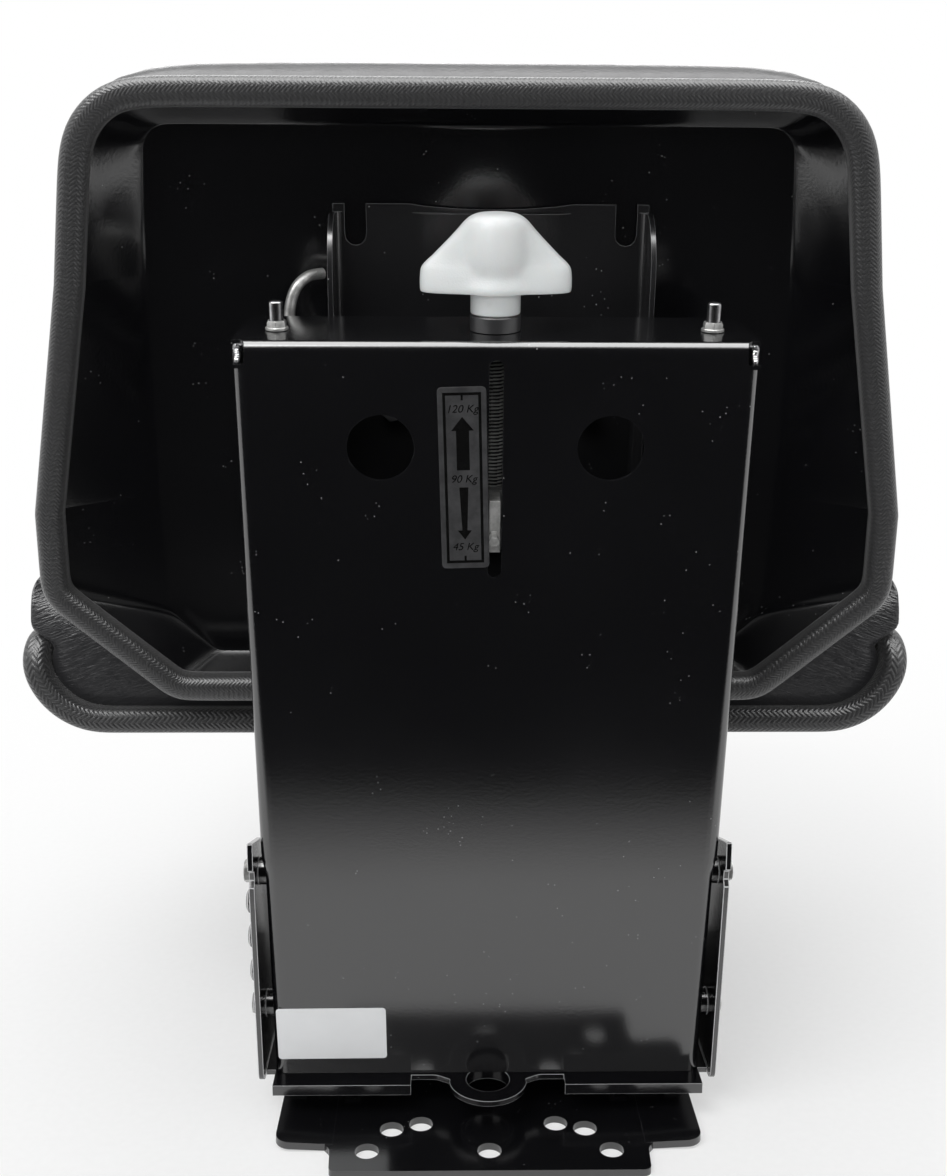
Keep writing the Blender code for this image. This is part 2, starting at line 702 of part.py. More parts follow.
def carriage():
    """The welded slide: two guide tubes, the front plate, the spring tabs and the damper lugs."""
    low, high = CARRIAGE_S
    near, far = CARRIAGE_PLATE_D
    reach = ROD_X + 0.004
    frame = prism("carriage", rectangle(-reach, reach, low, high), near, far, "xs", GREY_PAINT, CARRIAGE)
    for side in (1, -1):
        round_bar = circle(side * ROD_X, ROD_D, TUBE_R, 20)
        tube = prism(f"tube_{side}", round_bar, low, high, "xd", GREY_PAINT, CARRIAGE)
        tab_x = sorted((side * (SPRING_X - 0.013), side * (SPRING_X + 0.013)))
        tab_outline = rectangle(*tab_x, SPRING_D - 0.010, near + 0.001)
        tab = prism(f"tab_{side}", tab_outline, low, low + 0.004, "xd", GREY_PAINT, CARRIAGE)
        lug_x = sorted((side * 0.0125, side * 0.0165))
        lug = [(near + 0.001, DAMPER_EYE_S[1] - 0.018), (near + 0.001, DAMPER_EYE_S[1] + 0.018)]
        lug += arc((DAMPER_D, DAMPER_EYE_S[1]), EYE_R, 90.0, 270.0, 6)
        lug_plate = prism(f"lug_{side}", lug, *lug_x, "ds", GREY_PAINT, CARRIAGE)
        join(frame, tube, tab, lug_plate)
    bores = [circle(side * ROD_X, ROD_D, TUBE_BORE_R, 20) for side in (1, -1)]
    hooks = [circle(side * SPRING_X, SPRING_D, 0.0035, 10) for side in (1, -1)]
    window = rectangle(-0.030, 0.030, low + 0.030, low + 0.110)
    cut(
        frame,
        cutter("tube_bores", bores, low - 0.01, high + 0.01, "xd", CARRIAGE),
        cutter("hook_holes", hooks, low - 0.01, low + 0.01, "xd", CARRIAGE),
        cutter("carriage_window", [window], near - 0.01, far + 0.01, "xs", CARRIAGE),
    )
    pin = circle(DAMPER_D, DAMPER_EYE_S[1], PIN_R, 12)
    join(frame, prism("damper_pin_upper", pin, -PIN_HALF_L, PIN_HALF_L, "ds", ZINC, CARRIAGE))
    for side, word in ((1, "left"), (-1, "right")):
        ring = [(TUBE_BORE_R - GAP, low), (TUBE_BORE_R - GAP, high)]
        center = (side * ROD_X, -ROD_D)
        turned(f"guide_bush_{word}", ring, center, WHITE_PLASTIC, CARRIAGE, 16, bore=ROD_R + GAP)


def damper():
    """Tube on the foot plate's bracket, rod on the carriage's lugs, each on its own pin."""
    foot_s, head_s = DAMPER_EYE_S

    def eye(name, s, paint, parent):
        return prism(name, circle(DAMPER_D, s, EYE_R, 16), -EYE_HALF_W, EYE_HALF_W, "ds", paint, parent)

    center = (0.0, -DAMPER_D)
    barrel = [(DAMPER_R, foot_s + 0.0072), (DAMPER_R, DAMPER_TUBE_TOP_S)]
    tube = turned("damper_tube", barrel, center, BLACK, UPRIGHT)
    join(tube, eye("damper_foot_eye", foot_s, BLACK, UPRIGHT))
    bore = [circle(0.0, DAMPER_D, DAMPER_ROD_R + GAP, 12)]
    shaft_low = foot_s + 0.022
    pin_holes = [circle(DAMPER_D, s, PIN_R + GAP, 12) for s in DAMPER_EYE_S]
    cut(
        tube,
        cutter("damper_bore", bore, shaft_low, DAMPER_TUBE_TOP_S + 0.01, "xd", UPRIGHT),
        cutter("foot_eye_hole", pin_holes[:1], -0.03, 0.03, "ds", UPRIGHT),
    )
    rod_low = shaft_low + STROKE + GAP
    shaft = [(DAMPER_ROD_R, rod_low), (DAMPER_ROD_R, head_s - 0.006)]
    rod = turned("damper_rod", shaft, center, BRIGHT_STEEL, CARRIAGE, 12)
    join(rod, eye("damper_head_eye", head_s, BRIGHT_STEEL, CARRIAGE))
    cut(rod, cutter("head_eye_hole", pin_holes[1:], -0.03, 0.03, "ds", CARRIAGE))
    pin = circle(DAMPER_D, foot_s, PIN_R, 12)
    lower_pin = prism("damper_pin_lower", pin, -PIN_HALF_L, PIN_HALF_L, "ds", ZINC, UPRIGHT)
    outline = [(DAMPER_D - 0.010, -0.02), (DAMPER_D + 0.010, -0.02), (DAMPER_D + 0.010, 0.012)]
    outline += arc((DAMPER_D, foot_s), 0.0065, 0.0, 180.0, 6) + [(DAMPER_D - 0.010, 0.012)]
    bracket = prism("damper_bracket", outline, -0.0165, 0.0165, "ds", BLACK, UPRIGHT)
    cut(
        bracket,
        cutter("bracket_gap", [rectangle(-0.05, 0.10, 0.0105, 0.05)], -0.0095, 0.0095, "ds", UPRIGHT),
        cutter("bracket_floor", [rectangle(-0.2, 0.2, -0.1, 0.3)], -0.1, BOX_Z, "xy"),
    )
    join(bracket, lower_pin)


def weight_adjuster():
    """Knob and spindle, the indicator nut in the slot, the cross bar and the two springs."""
    center = (0.0, -SPINDLE_D)
    top = BOX_H - BOX_T - GAP
    seat = BOX_H + GAP + WASHER_T + GAP
    profile = [
        (SPINDLE_R - 0.001, SPINDLE_FOOT_S),
        (SPINDLE_R, SPINDLE_FOOT_S + 0.001),
        (SPINDLE_R, top - 0.004),
        (0.009, top - 0.004),
        (0.009, top),
        (SHANK_R, top),
        (SHANK_R, seat + STEM_H + 0.010),
    ]
    turned("spindle", profile, (0.0, 0.0), ZINC, SPINDLE, 16, location=(0.0, 0.0, 0.0))
    ring = [(0.0128, BOX_H + GAP), (0.0128, BOX_H + GAP + WASHER_T)]
    turned("spindle_washer", ring, center, BLACK, UPRIGHT, 24, bore=SHANK_R + GAP)

    knob = finish("knob", knob_mesh(seat), KNOB_WHITE, SPINDLE)
    bore = [circle(0.0, 0.0, SHANK_R + GAP, 12)]
    cut(knob, cutter("knob_bore", bore, seat - 0.01, seat + STEM_H + 0.010 + GAP, "xy", SPINDLE))

    low, high = NUT_S
    nut = prism("indicator_nut", rectangle(-0.011, 0.011, 0.018, 0.042), low, high, "xd", ZINC, NUT)
    tongue = prism("nut_tongue", rectangle(-0.0026, 0.0026, 0.0008, 0.019), low, high, "xd", ZINC, NUT)
    pin_s = BOX_H - 0.092
    pin = prism("nut_pin", circle(0.0004, pin_s, 0.0024, 6), -0.0085, 0.003, "xs", ZINC, NUT)
    join(nut, tongue, pin)
    cut(nut, cutter("nut_bore", [circle(0.0, SPINDLE_D, SPINDLE_R + GAP, 16)], 0.0, 0.6, "xd", NUT))

    bar_top = low - GAP
    half = [(0.0, SPINDLE_D - 0.011, 0.0), (CROSS_BAR_HALF, SPINDLE_D - 0.011, 0.004)]
    half += [(CROSS_BAR_HALF, CARRIAGE_PLATE_D[0] - 0.0015, 0.003), (0.0, CARRIAGE_PLATE_D[0] - 0.0015, 0.0)]
    bar = prism("cross_bar", rounded(mirrored(half)), bar_top - CROSS_BAR_T, bar_top, "xd", ZINC, NUT)
    holes = [circle(0.0, SPINDLE_D, SPINDLE_R + GAP, 16)]
    holes += [circle(side * SPRING_X, SPRING_D, 0.0035, 10) for side in (1, -1)]
    cut(bar, cutter("bar_holes", holes, 0.0, 0.6, "xd", NUT))

    for side, word in ((1, "left"), (-1, "right")):
        spring_low = CARRIAGE_S[0] - 0.0028
        spring_high = bar_top + 0.0028
        mesh = tube_along(spring_path(side * SPRING_X, spring_low, spring_high), SPRING_WIRE_R, 4)
        finish(f"weight_spring_{word}", mesh, BLACK, CARRIAGE)


def spring_path(x, low, high):
    """A hook through each end's hole, and the coils between."""
    coils, per_coil = 10, 7
    coil_low, coil_high = low + 0.016, high - 0.016
    path = [(x - 0.0045, -SPRING_D, low + 0.0005), (x - 0.002, -SPRING_D, low - 0.0006)]
    path += [(x, -SPRING_D, low + 0.0010), (x, -SPRING_D, low + 0.008)]
    for k in range(coils * per_coil + 1):
        angle = 2 * math.pi * k / per_coil
        height = coil_low + (coil_high - coil_low) * k / (coils * per_coil)
        path.append((x + SPRING_R * math.cos(angle), -SPRING_D + SPRING_R * math.sin(angle), height))
    path += [(x, -SPRING_D, high - 0.008), (x, -SPRING_D, high - 0.0010)]
    path += [(x + 0.002, -SPRING_D, high + 0.0006), (x + 0.0045, -SPRING_D, high - 0.0005)]
    return path


def knob_mesh(seat):
    """The three-lobed knob, one lobe to the rear, with its round stem below."""
    foot = seat + STEM_H
    levels = [
        (seat, STEM_R - 0.0006, STEM_R - 0.0006),
        (seat + 0.001, STEM_R, STEM_R),
        (foot, STEM_R, STEM_R),
        (foot + 0.0002, 0.0135, KNOB_R - 0.003),
        (foot + 0.0020, 0.0155, KNOB_R - 0.0005),
        (foot + 0.0075, 0.0162, KNOB_R),
        (foot + 0.0130, 0.0162, KNOB_R - 0.0010),
        (foot + 0.0165, 0.0160, KNOB_R - 0.0050),
        (foot + 0.0230, 0.0154, KNOB_R - 0.0125),
        (foot + 0.0295, 0.0145, KNOB_R - 0.0200),
        (foot + 0.0345, 0.0130, KNOB_R - 0.0250),
        (foot + KNOB_H - 0.0006, 0.0100, 0.0112),
        (foot + KNOB_H, 0.0065, 0.0070),
    ]
    rings = []
    for height, valley, lobe in levels:
        ring = []
        for k in range(KNOB_POINTS):
            angle = 2 * math.pi * k / KNOB_POINTS
            share = (0.5 + 0.5 * math.cos(3 * (angle - math.pi / 2))) ** 1.25
            radius = valley + (lobe - valley) * share
            ring.append((radius * math.cos(angle), radius * math.sin(angle), height))
        rings.append(ring)
    return loft(rings)


def carrier_bracket():
    """The folded channel that joins the carriage to the backrest, with its two top notches."""
    top, bend, sheet = BRACKET_TOP_S, BRACKET_BEND_R, BRACKET_T
    wide, web_near = BRACKET_HALF_W, WEB_D - BRACKET_T
    weld_d = CARRIAGE_PLATE_D[1] + GAP
    half = [(0.0, WEB_D)] + arc((wide - bend, WEB_D - bend), bend, 90.0, 0.0, 4)
    half += [(wide, weld_d), (wide - sheet, weld_d)]
    half += arc((wide - bend, WEB_D - bend), bend - sheet, 0.0, 90.0, 4) + [(0.0, web_near)]
    channel = prism("carrier_bracket", mirrored(half), 0.0, 1.0, "xd", BLACK, CARRIAGE)

    inner, outer = NOTCH_X - NOTCH_W / 2, NOTCH_X + NOTCH_W / 2
    half = [(0.0, 0.0), (wide + 0.01, 0.0), (wide + 0.01, top), (outer, top)]
    half += arc((NOTCH_X, top - NOTCH_DEPTH + NOTCH_W / 2), NOTCH_W / 2, 0.0, -180.0, 6)
    half += [(inner, top), (DISH_HALF_W, top)]
    half += [(DISH_HALF_W * 0.8, top - 0.0012), (DISH_HALF_W * 0.4, top - 0.0024), (0.0, top - 0.0028)]
    front_view = cutter("bracket_front_view", [mirrored(half)], 0.0, 0.2, "xs", CARRIAGE)

    edge = [(WEB_D + 0.01, WEB_LOW_S), (WEB_D + 0.01, top), (web_near, top)]
    for k in range(9):
        angle = math.radians(90.0 * k / 8)
        rear = web_near - (FLANGE_DEPTH - sheet) * math.sin(angle)
        edge.append((rear, top - 0.004 - 0.032 * (1 - math.cos(angle))))
    high, arm_low, arm_high = CARRIAGE_S[1], ARM_S, ARM_S + 0.040
    edge += [(WEB_D - FLANGE_DEPTH, high + 0.010), (weld_d - 0.01, high - 0.010)]
    edge += [(weld_d - 0.01, arm_low - 0.011), (0.092, arm_low - 0.006), (0.098, arm_low)]
    edge += [(0.098, arm_high), (0.072, arm_high + 0.008), (0.072, WEB_LOW_S)]
    side_view = cutter("bracket_side_view", [edge], -0.2, 0.2, "ds", CARRIAGE)
    boolean(channel, front_view, "INTERSECT")
    boolean(channel, side_view, "INTERSECT")

    rib = [(DISH_HALF_W, web_near + 0.0005), (DISH_HALF_W - 0.008, web_near - DISH)]
    rib_section = rib + [(-a, b) for a, b in reversed(rib)]
    dish = prism("bracket_dish", rib_section, WEB_LOW_S + 0.010, top - 0.0045, "xd", BLACK, CARRIAGE)
    join(channel, dish)
    bolts = [circle(side * BACK_BOLT_X, s, SCREW_HOLE_R, 12) for side in (1, -1) for s in BACK_BOLT_S]
    cut(channel, cutter("bracket_bolt_holes", bolts, 0.1, 0.13, "xs", CARRIAGE))


def rim_outline(grow=0.0):
    """The backrest's rim as corners (x, s, radius), widening downwards, with chamfered lower ends."""
    low, knee, middle, high, top = (RIM_S[0], *RIM_LEVELS, RIM_S[1])
    wide = RIM_HALF_W
    return [
        (0.0, top + grow, 0.0),
        (wide[4] + grow, top + grow, 0.036 + grow),
        (wide[3] + grow, high, 0.0),
        (wide[2] + grow, middle, 0.0),
        (wide[1] + grow, knee - grow * 0.4, 0.018),
        (wide[0] + grow * 0.4, low - grow, 0.020),
        (0.0, low - grow, 0.0),
    ]


def floor_outline(grow=0.0):
    """The recessed floor of the backrest pan."""
    low, top = FLOOR_S[0] - grow, FLOOR_S[1] + grow
    wide = FLOOR_HALF_W
    return [
        (0.0, top, 0.0),
        (wide[4] + grow, top, 0.012 + grow),
        (wide[3] + grow, RIM_LEVELS[2], 0.0),
        (wide[2] + grow, RIM_LEVELS[1], 0.0),
        (wide[1] + grow, FLOOR_KNEE_S - grow * 0.4, 0.012),
        (wide[0] + grow * 0.4, low, 0.010),
        (0.0, low, 0.0),
    ]


def backrest_ring(corners, d, steps=4):
    outline = rounded(mirrored(corners), steps)
    return [(SEAT_OFFSET_X + x, -d, s) for x, s in outline]


def blended(first, second, share):
    return [tuple(a + (b - a) * share for a, b in zip(p, q)) for p, q in zip(first, second)]


def tray_rings(grow, extra_d):
    """The tray from its rim to its floor, at the middle of the sheet or grown to its outside."""
    rim = backrest_ring(rim_outline(grow), RIM_D + RIM_LIP)
    floor = backrest_ring(floor_outline(grow), FLOOR_D + extra_d)
    lip = [(x, -RIM_D, s) for x, _, s in rim]
    soft_rim = [(x, y, s) for x, y, s in blended(rim, floor, 0.10)]
    soft_rim = [(x, y + 0.0012, s) for x, y, s in soft_rim]
    soft_floor = blended(rim, floor, 0.93)
    soft_floor = [(x, y - 0.0006, s) for x, y, s in soft_floor]
    middle = (FLOOR_S[0] + FLOOR_S[1]) / 2
    flat = []
    for x, y, s in floor:
        flat.append((SEAT_OFFSET_X + (x - SEAT_OFFSET_X) * 0.965, y, middle + (s - middle) * 0.960))
    floor_soft = [(x, y + 0.0008, s) for x, y, s in floor]
    return [lip, rim, soft_rim, soft_floor, floor_soft, flat]


def backrest():
    """Pressed pan with its rim lip, the edge trim around it, and the cushion in front."""
    tray = loft(tray_rings(0.0, 0.0), open_start=True, split=True)
    pan = finish("backrest_pan", tray, BLACK, CARRIAGE)
    sheet = pan.modifiers.new("sheet", "SOLIDIFY")
    sheet.thickness = SHEET_T
    sheet.offset = 0.0
    bolts = [circle(side * BACK_BOLT_X, s, SCREW_HOLE_R, 12) for side in (1, -1) for s in BACK_BOLT_S]
    cut(pan, cutter("pan_bolt_holes", bolts, 0.1, 0.14, "xs", CARRIAGE))
    for side, word in ((1, "left"), (-1, "right")):
        for s, row in zip(BACK_BOLT_S, ("lower", "upper")):
            seat = (side * BACK_BOLT_X, -(WEB_D - BRACKET_T - GAP), s)
            name = f"backrest_bolt_{row}_{word}"
            hex_bolt(name, seat, (0.0, -1.0, 0.0), 0.0072, ZINC, CARRIAGE)

    outline = rounded(mirrored(rim_outline()), 4)
    rings = []
    count = len(outline)
    for k, (x, s) in enumerate(outline):
        before, after = Vector(outline[k - 1]), Vector(outline[(k + 1) % count])
        into = (Vector((x, s)) - before).normalized()
        out = (after - Vector((x, s))).normalized()
        along = (into + out).normalized()
        normal = Vector((along.y, -along.x))
        stretch = 1.0 / max(0.7, into.dot(along))
        ring = []
        for a, b in trim_section(GAP):
            point = Vector((x, s)) + normal * a * stretch
            ring.append((SEAT_OFFSET_X + point.x, -(RIM_D - b), point.y))
        rings.append(ring)
    finish("backrest_trim", loft(rings, closed=True), VINYL, CARRIAGE)
    backrest_cushion()


def trim_section(clearance):
    """The U of the edge trim: a is across the sheet, b is outwards past its edge."""
    slot = SHEET_T / 2 + clearance
    wide = TRIM_HALF_W
    return [
        (slot, -TRIM_UNDER),
        (wide * 0.8, -TRIM_UNDER),
        (wide, -TRIM_UNDER * 0.2),
        (wide * 0.7, TRIM_OVER * 0.75),
        (0.0, TRIM_OVER),
        (-wide * 0.7, TRIM_OVER * 0.75),
        (-wide, -TRIM_UNDER * 0.2),
        (-wide * 0.8, -TRIM_UNDER),
        (-slot, -TRIM_UNDER),
        (-slot, GAP),
        (slot, GAP),
    ]


def cushion_outline(grow=0.0):
    low, knee, middle, high, top = (PAD_S[0], *PAD_LEVELS, PAD_S[1])
    wide = PAD_HALF_W
    return [
        (0.0, top + grow, 0.0),
        (wide[4] + grow, top + grow, 0.040),
        (wide[3] + grow, high, 0.0),
        (wide[2] + grow, middle, 0.0),
        (wide[1] + grow, knee, 0.020),
        (wide[0], low - grow, 0.020),
        (0.0, low - grow, 0.0),
    ]


def backrest_front(x, s):
    """How far forward the cushion's front stands: side bolsters, a low middle and a lumbar swell."""
    side = min(1.0, abs(x) / PAD_HALF_W[3])
    lumbar = PAD_LUMBAR * math.exp(-(((s - PAD_LEVELS[1]) / 0.06) ** 2))
    return PAD_FRONT_D + PAD_BOLSTER * side * side + lumbar


def backrest_cushion():
    """A crowned pad over the pan's front, hollowed at the back for the tray."""
    start = RIM_D + RIM_LIP + 0.0025
    rings = [backrest_ring(cushion_outline(-0.004), start)]
    rings.append(backrest_ring(cushion_outline(0.004), start + 0.010))
    rings.append(backrest_ring(cushion_outline(0.006), start + 0.030))
    edge = backrest_ring(cushion_outline(0.006), 0.0)
    center = Vector((SEAT_OFFSET_X, (PAD_S[0] + PAD_S[1]) / 2))
    crown = ((0.99, 0.034), (0.965, 0.014), (0.91, 0.004), (0.80, 0.0), (0.55, 0.0), (0.2, 0.0))
    for share, drop in crown:
        ring = []
        for x, _, s in edge:
            spot = center + (Vector((x, s)) - center) * share
            ring.append((spot.x, -(backrest_front(spot.x - SEAT_OFFSET_X, spot.y) - drop), spot.y))
        rings.append(ring)
    pad = finish("backrest_cushion", loft(rings), VINYL, CARRIAGE)
    hollow = tray_rings(TRAY_CLEAR, TRAY_CLEAR)
    hollow.insert(0, [(x, -0.05, s) for x, _, s in hollow[0]])
    cut(pad, finish("tray_plug", loft(hollow, split=True), VINYL, CARRIAGE))


def seat_half(y):
    """Half the pan's width, which tapers towards the front."""
    share = (SEAT_REAR_Y - y) / (SEAT_REAR_Y - SEAT_FRONT_Y)
    return SEAT_HALF_W[0] + (SEAT_HALF_W[1] - SEAT_HALF_W[0]) * share


def seat_spot(across, along):
    """A point of the seat pan's middle surface; across runs -1 to 1, along runs rear to front."""
    flat = SEAT_HALF_W[0] - SEAT_WALL_R
    bend = SEAT_WALL_R * math.pi / 2
    wall = SEAT_WALL_H - SEAT_WALL_R
    fade = max(0.0, (along - WALL_FADE) / (1 - WALL_FADE))
    kept = 1 - (1 - FRONT_WALL_SHARE) * (0.5 - 0.5 * math.cos(math.pi * fade))
    run = abs(across) * (flat + (bend + wall) * kept)
    inset = SEAT_WALL_R
    rise = 0.0
    if run > flat + bend:
        inset = 0.0
        rise = SEAT_WALL_R + run - flat - bend
    elif run > flat:
        angle = (run - flat) / SEAT_WALL_R
        inset = SEAT_WALL_R * (1 - math.sin(angle))
        rise = SEAT_WALL_R * (1 - math.cos(angle))
    lift = max(0.0, rise - (SEAT_WALL_H - SEAT_CORNER_R))
    rear = SEAT_REAR_Y - SEAT_CORNER_R + math.sqrt(SEAT_CORNER_R**2 - min(lift, SEAT_CORNER_R) ** 2)
    front = SEAT_FRONT_Y + FRONT_CORNER * abs(across) ** 8
    y = rear + (front - rear) * along
    x = (seat_half(y) - inset) * min(1.0, run / flat)
    droop = FRONT_DROOP * max(0.0, (along - 0.75) / 0.25) ** 2
    return Vector((math.copysign(x, across) + SEAT_OFFSET_X, y, SEAT_FLOOR_Z + rise - droop))


ACROSS = [-1, -0.985, -0.965, -0.94, -0.91, -0.875, -0.835, -0.795, -0.755, -0.4]
ACROSS = ACROSS + [0.0] + [-a for a in reversed(ACROSS)]
ALONG = [0.0, 0.05, 0.3, 0.62, 0.69, 0.76, 0.82, 0.87, 0.91, 0.955, 1.0]


def seat_pan():
    bm = bmesh.new()
    grid = [[bm.verts.new(seat_spot(a, b)) for a in ACROSS] for b in ALONG]
    for row, after in zip(grid, grid[1:]):
        for k in range(len(row) - 1):
            bm.faces.new((row[k], row[k + 1], after[k + 1], after[k]))
    pan = finish("seat_pan", bm, BLACK, SEAT_FRAME_PARENT)
    sheet = pan.modifiers.new("sheet", "SOLIDIFY")
    sheet.thickness = SHEET_T
    sheet.offset = 0.0
    bolts = [circle(side * SEAT_BOLT_X, y, SCREW_HOLE_R, 12) for side in (1, -1) for y in SEAT_BOLT_Y]
    cut(pan, cutter("seat_bolt_holes", bolts, 0.1, 0.3, "xy", SEAT_FRAME_PARENT))


def pan_edge(along_steps):
    """The way round the pan's edge as (across, along) pairs, from the rear over one side."""
    rear = [(a, 0.0) for a in ACROSS]
    right = [(1.0, b) for b in along_steps[1:]]
    front = [(a, 1.0) for a in reversed(ACROSS)][1:]
    left = [(-1.0, b) for b in reversed(along_steps)][1:-1]
    return rear + right + front + left


def edge_frames(path):
    """Each spot of the pan's edge with the sheet's inner normal and the way out past its edge."""
    spots = [seat_spot(a, b) for a, b in path]
    middle = Vector((SEAT_OFFSET_X, (SEAT_REAR_Y + SEAT_FRONT_Y) / 2, SEAT_FLOOR_Z))
    frames = []
    for k, (a, b) in enumerate(path):
        normal = sheet_normal(a, b)
        tangent = (spots[(k + 1) % len(path)] - spots[k - 1]).normalized()
        outward = tangent.cross(normal).normalized()
        if outward.dot(spots[k] - middle) < 0:
            outward = -outward
        square = outward.cross(tangent).normalized()
        if square.dot(normal) < 0:
            square = -square
        frames.append((spots[k], square, outward))
    return frames


def sheet_normal(a, b):
    """The seat pan's upper or inner normal at a place of its sheet."""
    step = 0.004
    near = max(-0.985, min(0.985, a))
    across = seat_spot(near + step, b) - seat_spot(near - step, b)
    along = seat_spot(near, min(1.0, b + step)) - seat_spot(near, max(0.0, b - step))
    normal = across.cross(along).normalized()
    return normal if normal.z > 0 else -normal


def seat_trim():
    """The edge trim around the whole seat pan, set square to the sheet at each point."""
    rings = []
    for spot, normal, outward in edge_frames(pan_edge(ALONG)):
        rings.append([spot + normal * p + outward * q for p, q in trim_section(BENT_TRIM_CLEAR)])
    finish("seat_trim", loft(rings, closed=True), VINYL, SEAT_FRAME_PARENT)


def seat_top(x, y):
    """The seat cushion's top: side bolsters, a dished middle and a front that rolls down."""
    side = min(1.0, abs(x) / SEAT_HALF_W[0])
    back = (SEAT_REAR_Y - y) / (SEAT_REAR_Y - SEAT_FRONT_Y)
    front = 0.014 * max(0.0, 1 - ((back - 0.80) / 0.25) ** 2)
    roll = 0.016 * max(0.0, (back - 0.90) / 0.14) ** 2
    return SEAT_FLOOR_Z + CUSHION_TOP_H + CUSHION_BOLSTER * side**3 + front - roll


def cushion_edge(spot, a, b):
    """The place of the cushion's widest line, in plan, that belongs to a spot of the pan's edge."""
    rear_edge, front_edge = SEAT_REAR_Y - 0.004, SEAT_FRONT_Y - CUSHION_NOSE
    share = (spot.x - SEAT_OFFSET_X) / seat_half(spot.y)
    corner_rear = SEAT_REAR_Y - SEAT_CORNER_R
    corner_front = SEAT_FRONT_Y + FRONT_CORNER
    run = (corner_rear - spot.y) / (corner_rear - corner_front)
    y = rear_edge + (front_edge - rear_edge) * max(0.0, min(1.0, run))
    if abs(a) < 1.0:
        y = rear_edge if b < 0.5 else front_edge
    half = seat_half(spot.y) + CUSHION_BULGE
    x = abs(share) * half
    for radius, inward, edge_y in ((REAR_CORNER_R, -1, rear_edge), (FRONT_CORNER_R, 1, front_edge)):
        center = Vector((half - radius, edge_y + inward * radius))
        reach = Vector((x, y)) - center
        if reach.x > 0 and reach.y * inward < 0:
            x, y = center + reach.normalized() * radius
    return math.copysign(x, share) + SEAT_OFFSET_X, y


def cushion_rings():
    """The pad from the pan's floor, up inside the edge trim and out over it, to its crown."""
    along_steps = ALONG[:1] + [0.015, 0.04, 0.08] + ALONG[2:]
    path = pan_edge(along_steps)
    frames = edge_frames(path)
    lift = SHEET_T / 2 + CUSHION_CLEAR
    rings = []
    for keep, first, reach in ((0.70, 0.10, 0.62), (0.80, 0.07, 0.78), (0.90, 0.04, 0.90)):
        ring = []
        for a, b in path:
            place = (a * keep, first + b * reach)
            ring.append(seat_spot(*place) + sheet_normal(*place) * lift)
        rings.append(ring)

    above = 0.0015
    corner_top = SEAT_FLOOR_Z + SEAT_WALL_H + TRIM_OVER + above
    levels = [[] for _ in range(7)]
    for (a, b), (spot, normal, outward) in zip(path, frames):
        over = max(0.0, outward.z, -outward.y)
        top_z = spot.z + math.hypot(TRIM_HALF_W * normal.z, TRIM_OVER * outward.z) + above
        edge_z = top_z + 0.009 + 0.010 * max(0.0, -outward.y)
        if b == 0.0:
            rise = max(0.0, min(1.0, (abs(a) - 0.76) / 0.10))
            top_z = corner_top * rise + (SEAT_FLOOR_Z + 0.028) * (1 - rise)
            edge_z = (corner_top + 0.009) * rise + (SEAT_FLOOR_Z + 0.040) * (1 - rise)
        inside = spot + normal * (TRIM_HALF_W + 0.0020) + outward * (over * 0.002 - (1 - over) * 0.004)
        edge = Vector((*cushion_edge(spot, a, b), edge_z))
        levels[0].append(spot + normal * lift - outward * (TRIM_UNDER + 0.0022))
        levels[1].append(spot + normal * (TRIM_HALF_W + 0.0018) - outward * (TRIM_UNDER + 0.0012))
        levels[2].append(inside)
        for level, share, height in ((3, 0.10, 0.7), (4, 0.28, 1.0), (5, 0.75, 1.0)):
            place = inside.lerp(edge, share)
            place.z = inside.z + (top_z - inside.z) * height + (0.0025 if level == 5 else 0.0)
            levels[level].append(place)
        levels[6].append(edge)
    rings += levels

    center = Vector((SEAT_OFFSET_X, (SEAT_REAR_Y + SEAT_FRONT_Y) / 2))
    crown = ((0.992, 0.60), (0.96, 0.20), (0.90, 0.04), (0.75, 0.0), (0.4, 0.0))
    for share, low in crown:
        ring = []
        for edge in levels[6]:
            spot = center + (edge.to_2d() - center) * share
            top = seat_top(spot.x - SEAT_OFFSET_X, spot.y)
            ring.append((spot.x, spot.y, top + (edge.z - top) * low))
        rings.append(ring)
    return rings


def seat_cushion():
    """The seat's pad, stepped at its rear edge for the backrest's lower end."""
    pad = finish("seat_cushion", loft(cushion_rings(), split=True), VINYL, SEAT_FRAME_PARENT)
    step_y = SEAT_REAR_Y - 0.014
    step = [
        (step_y, SEAT_FLOOR_Z + 0.0340),
        (step_y + 0.032, SEAT_FLOOR_Z + 0.0225),
        (0.3, SEAT_FLOOR_Z + 0.0225),
        (0.3, 0.5),
        (step_y + 0.050, 0.5),
        (step_y + 0.004, SEAT_FLOOR_Z + 0.060),
    ]
    half = RIM_HALF_W[0] + 0.018
    reach = (SEAT_OFFSET_X - half, SEAT_OFFSET_X + half)
    cut(pad, cutter("seat_step", [step], *reach, "yz", SEAT_FRAME_PARENT))


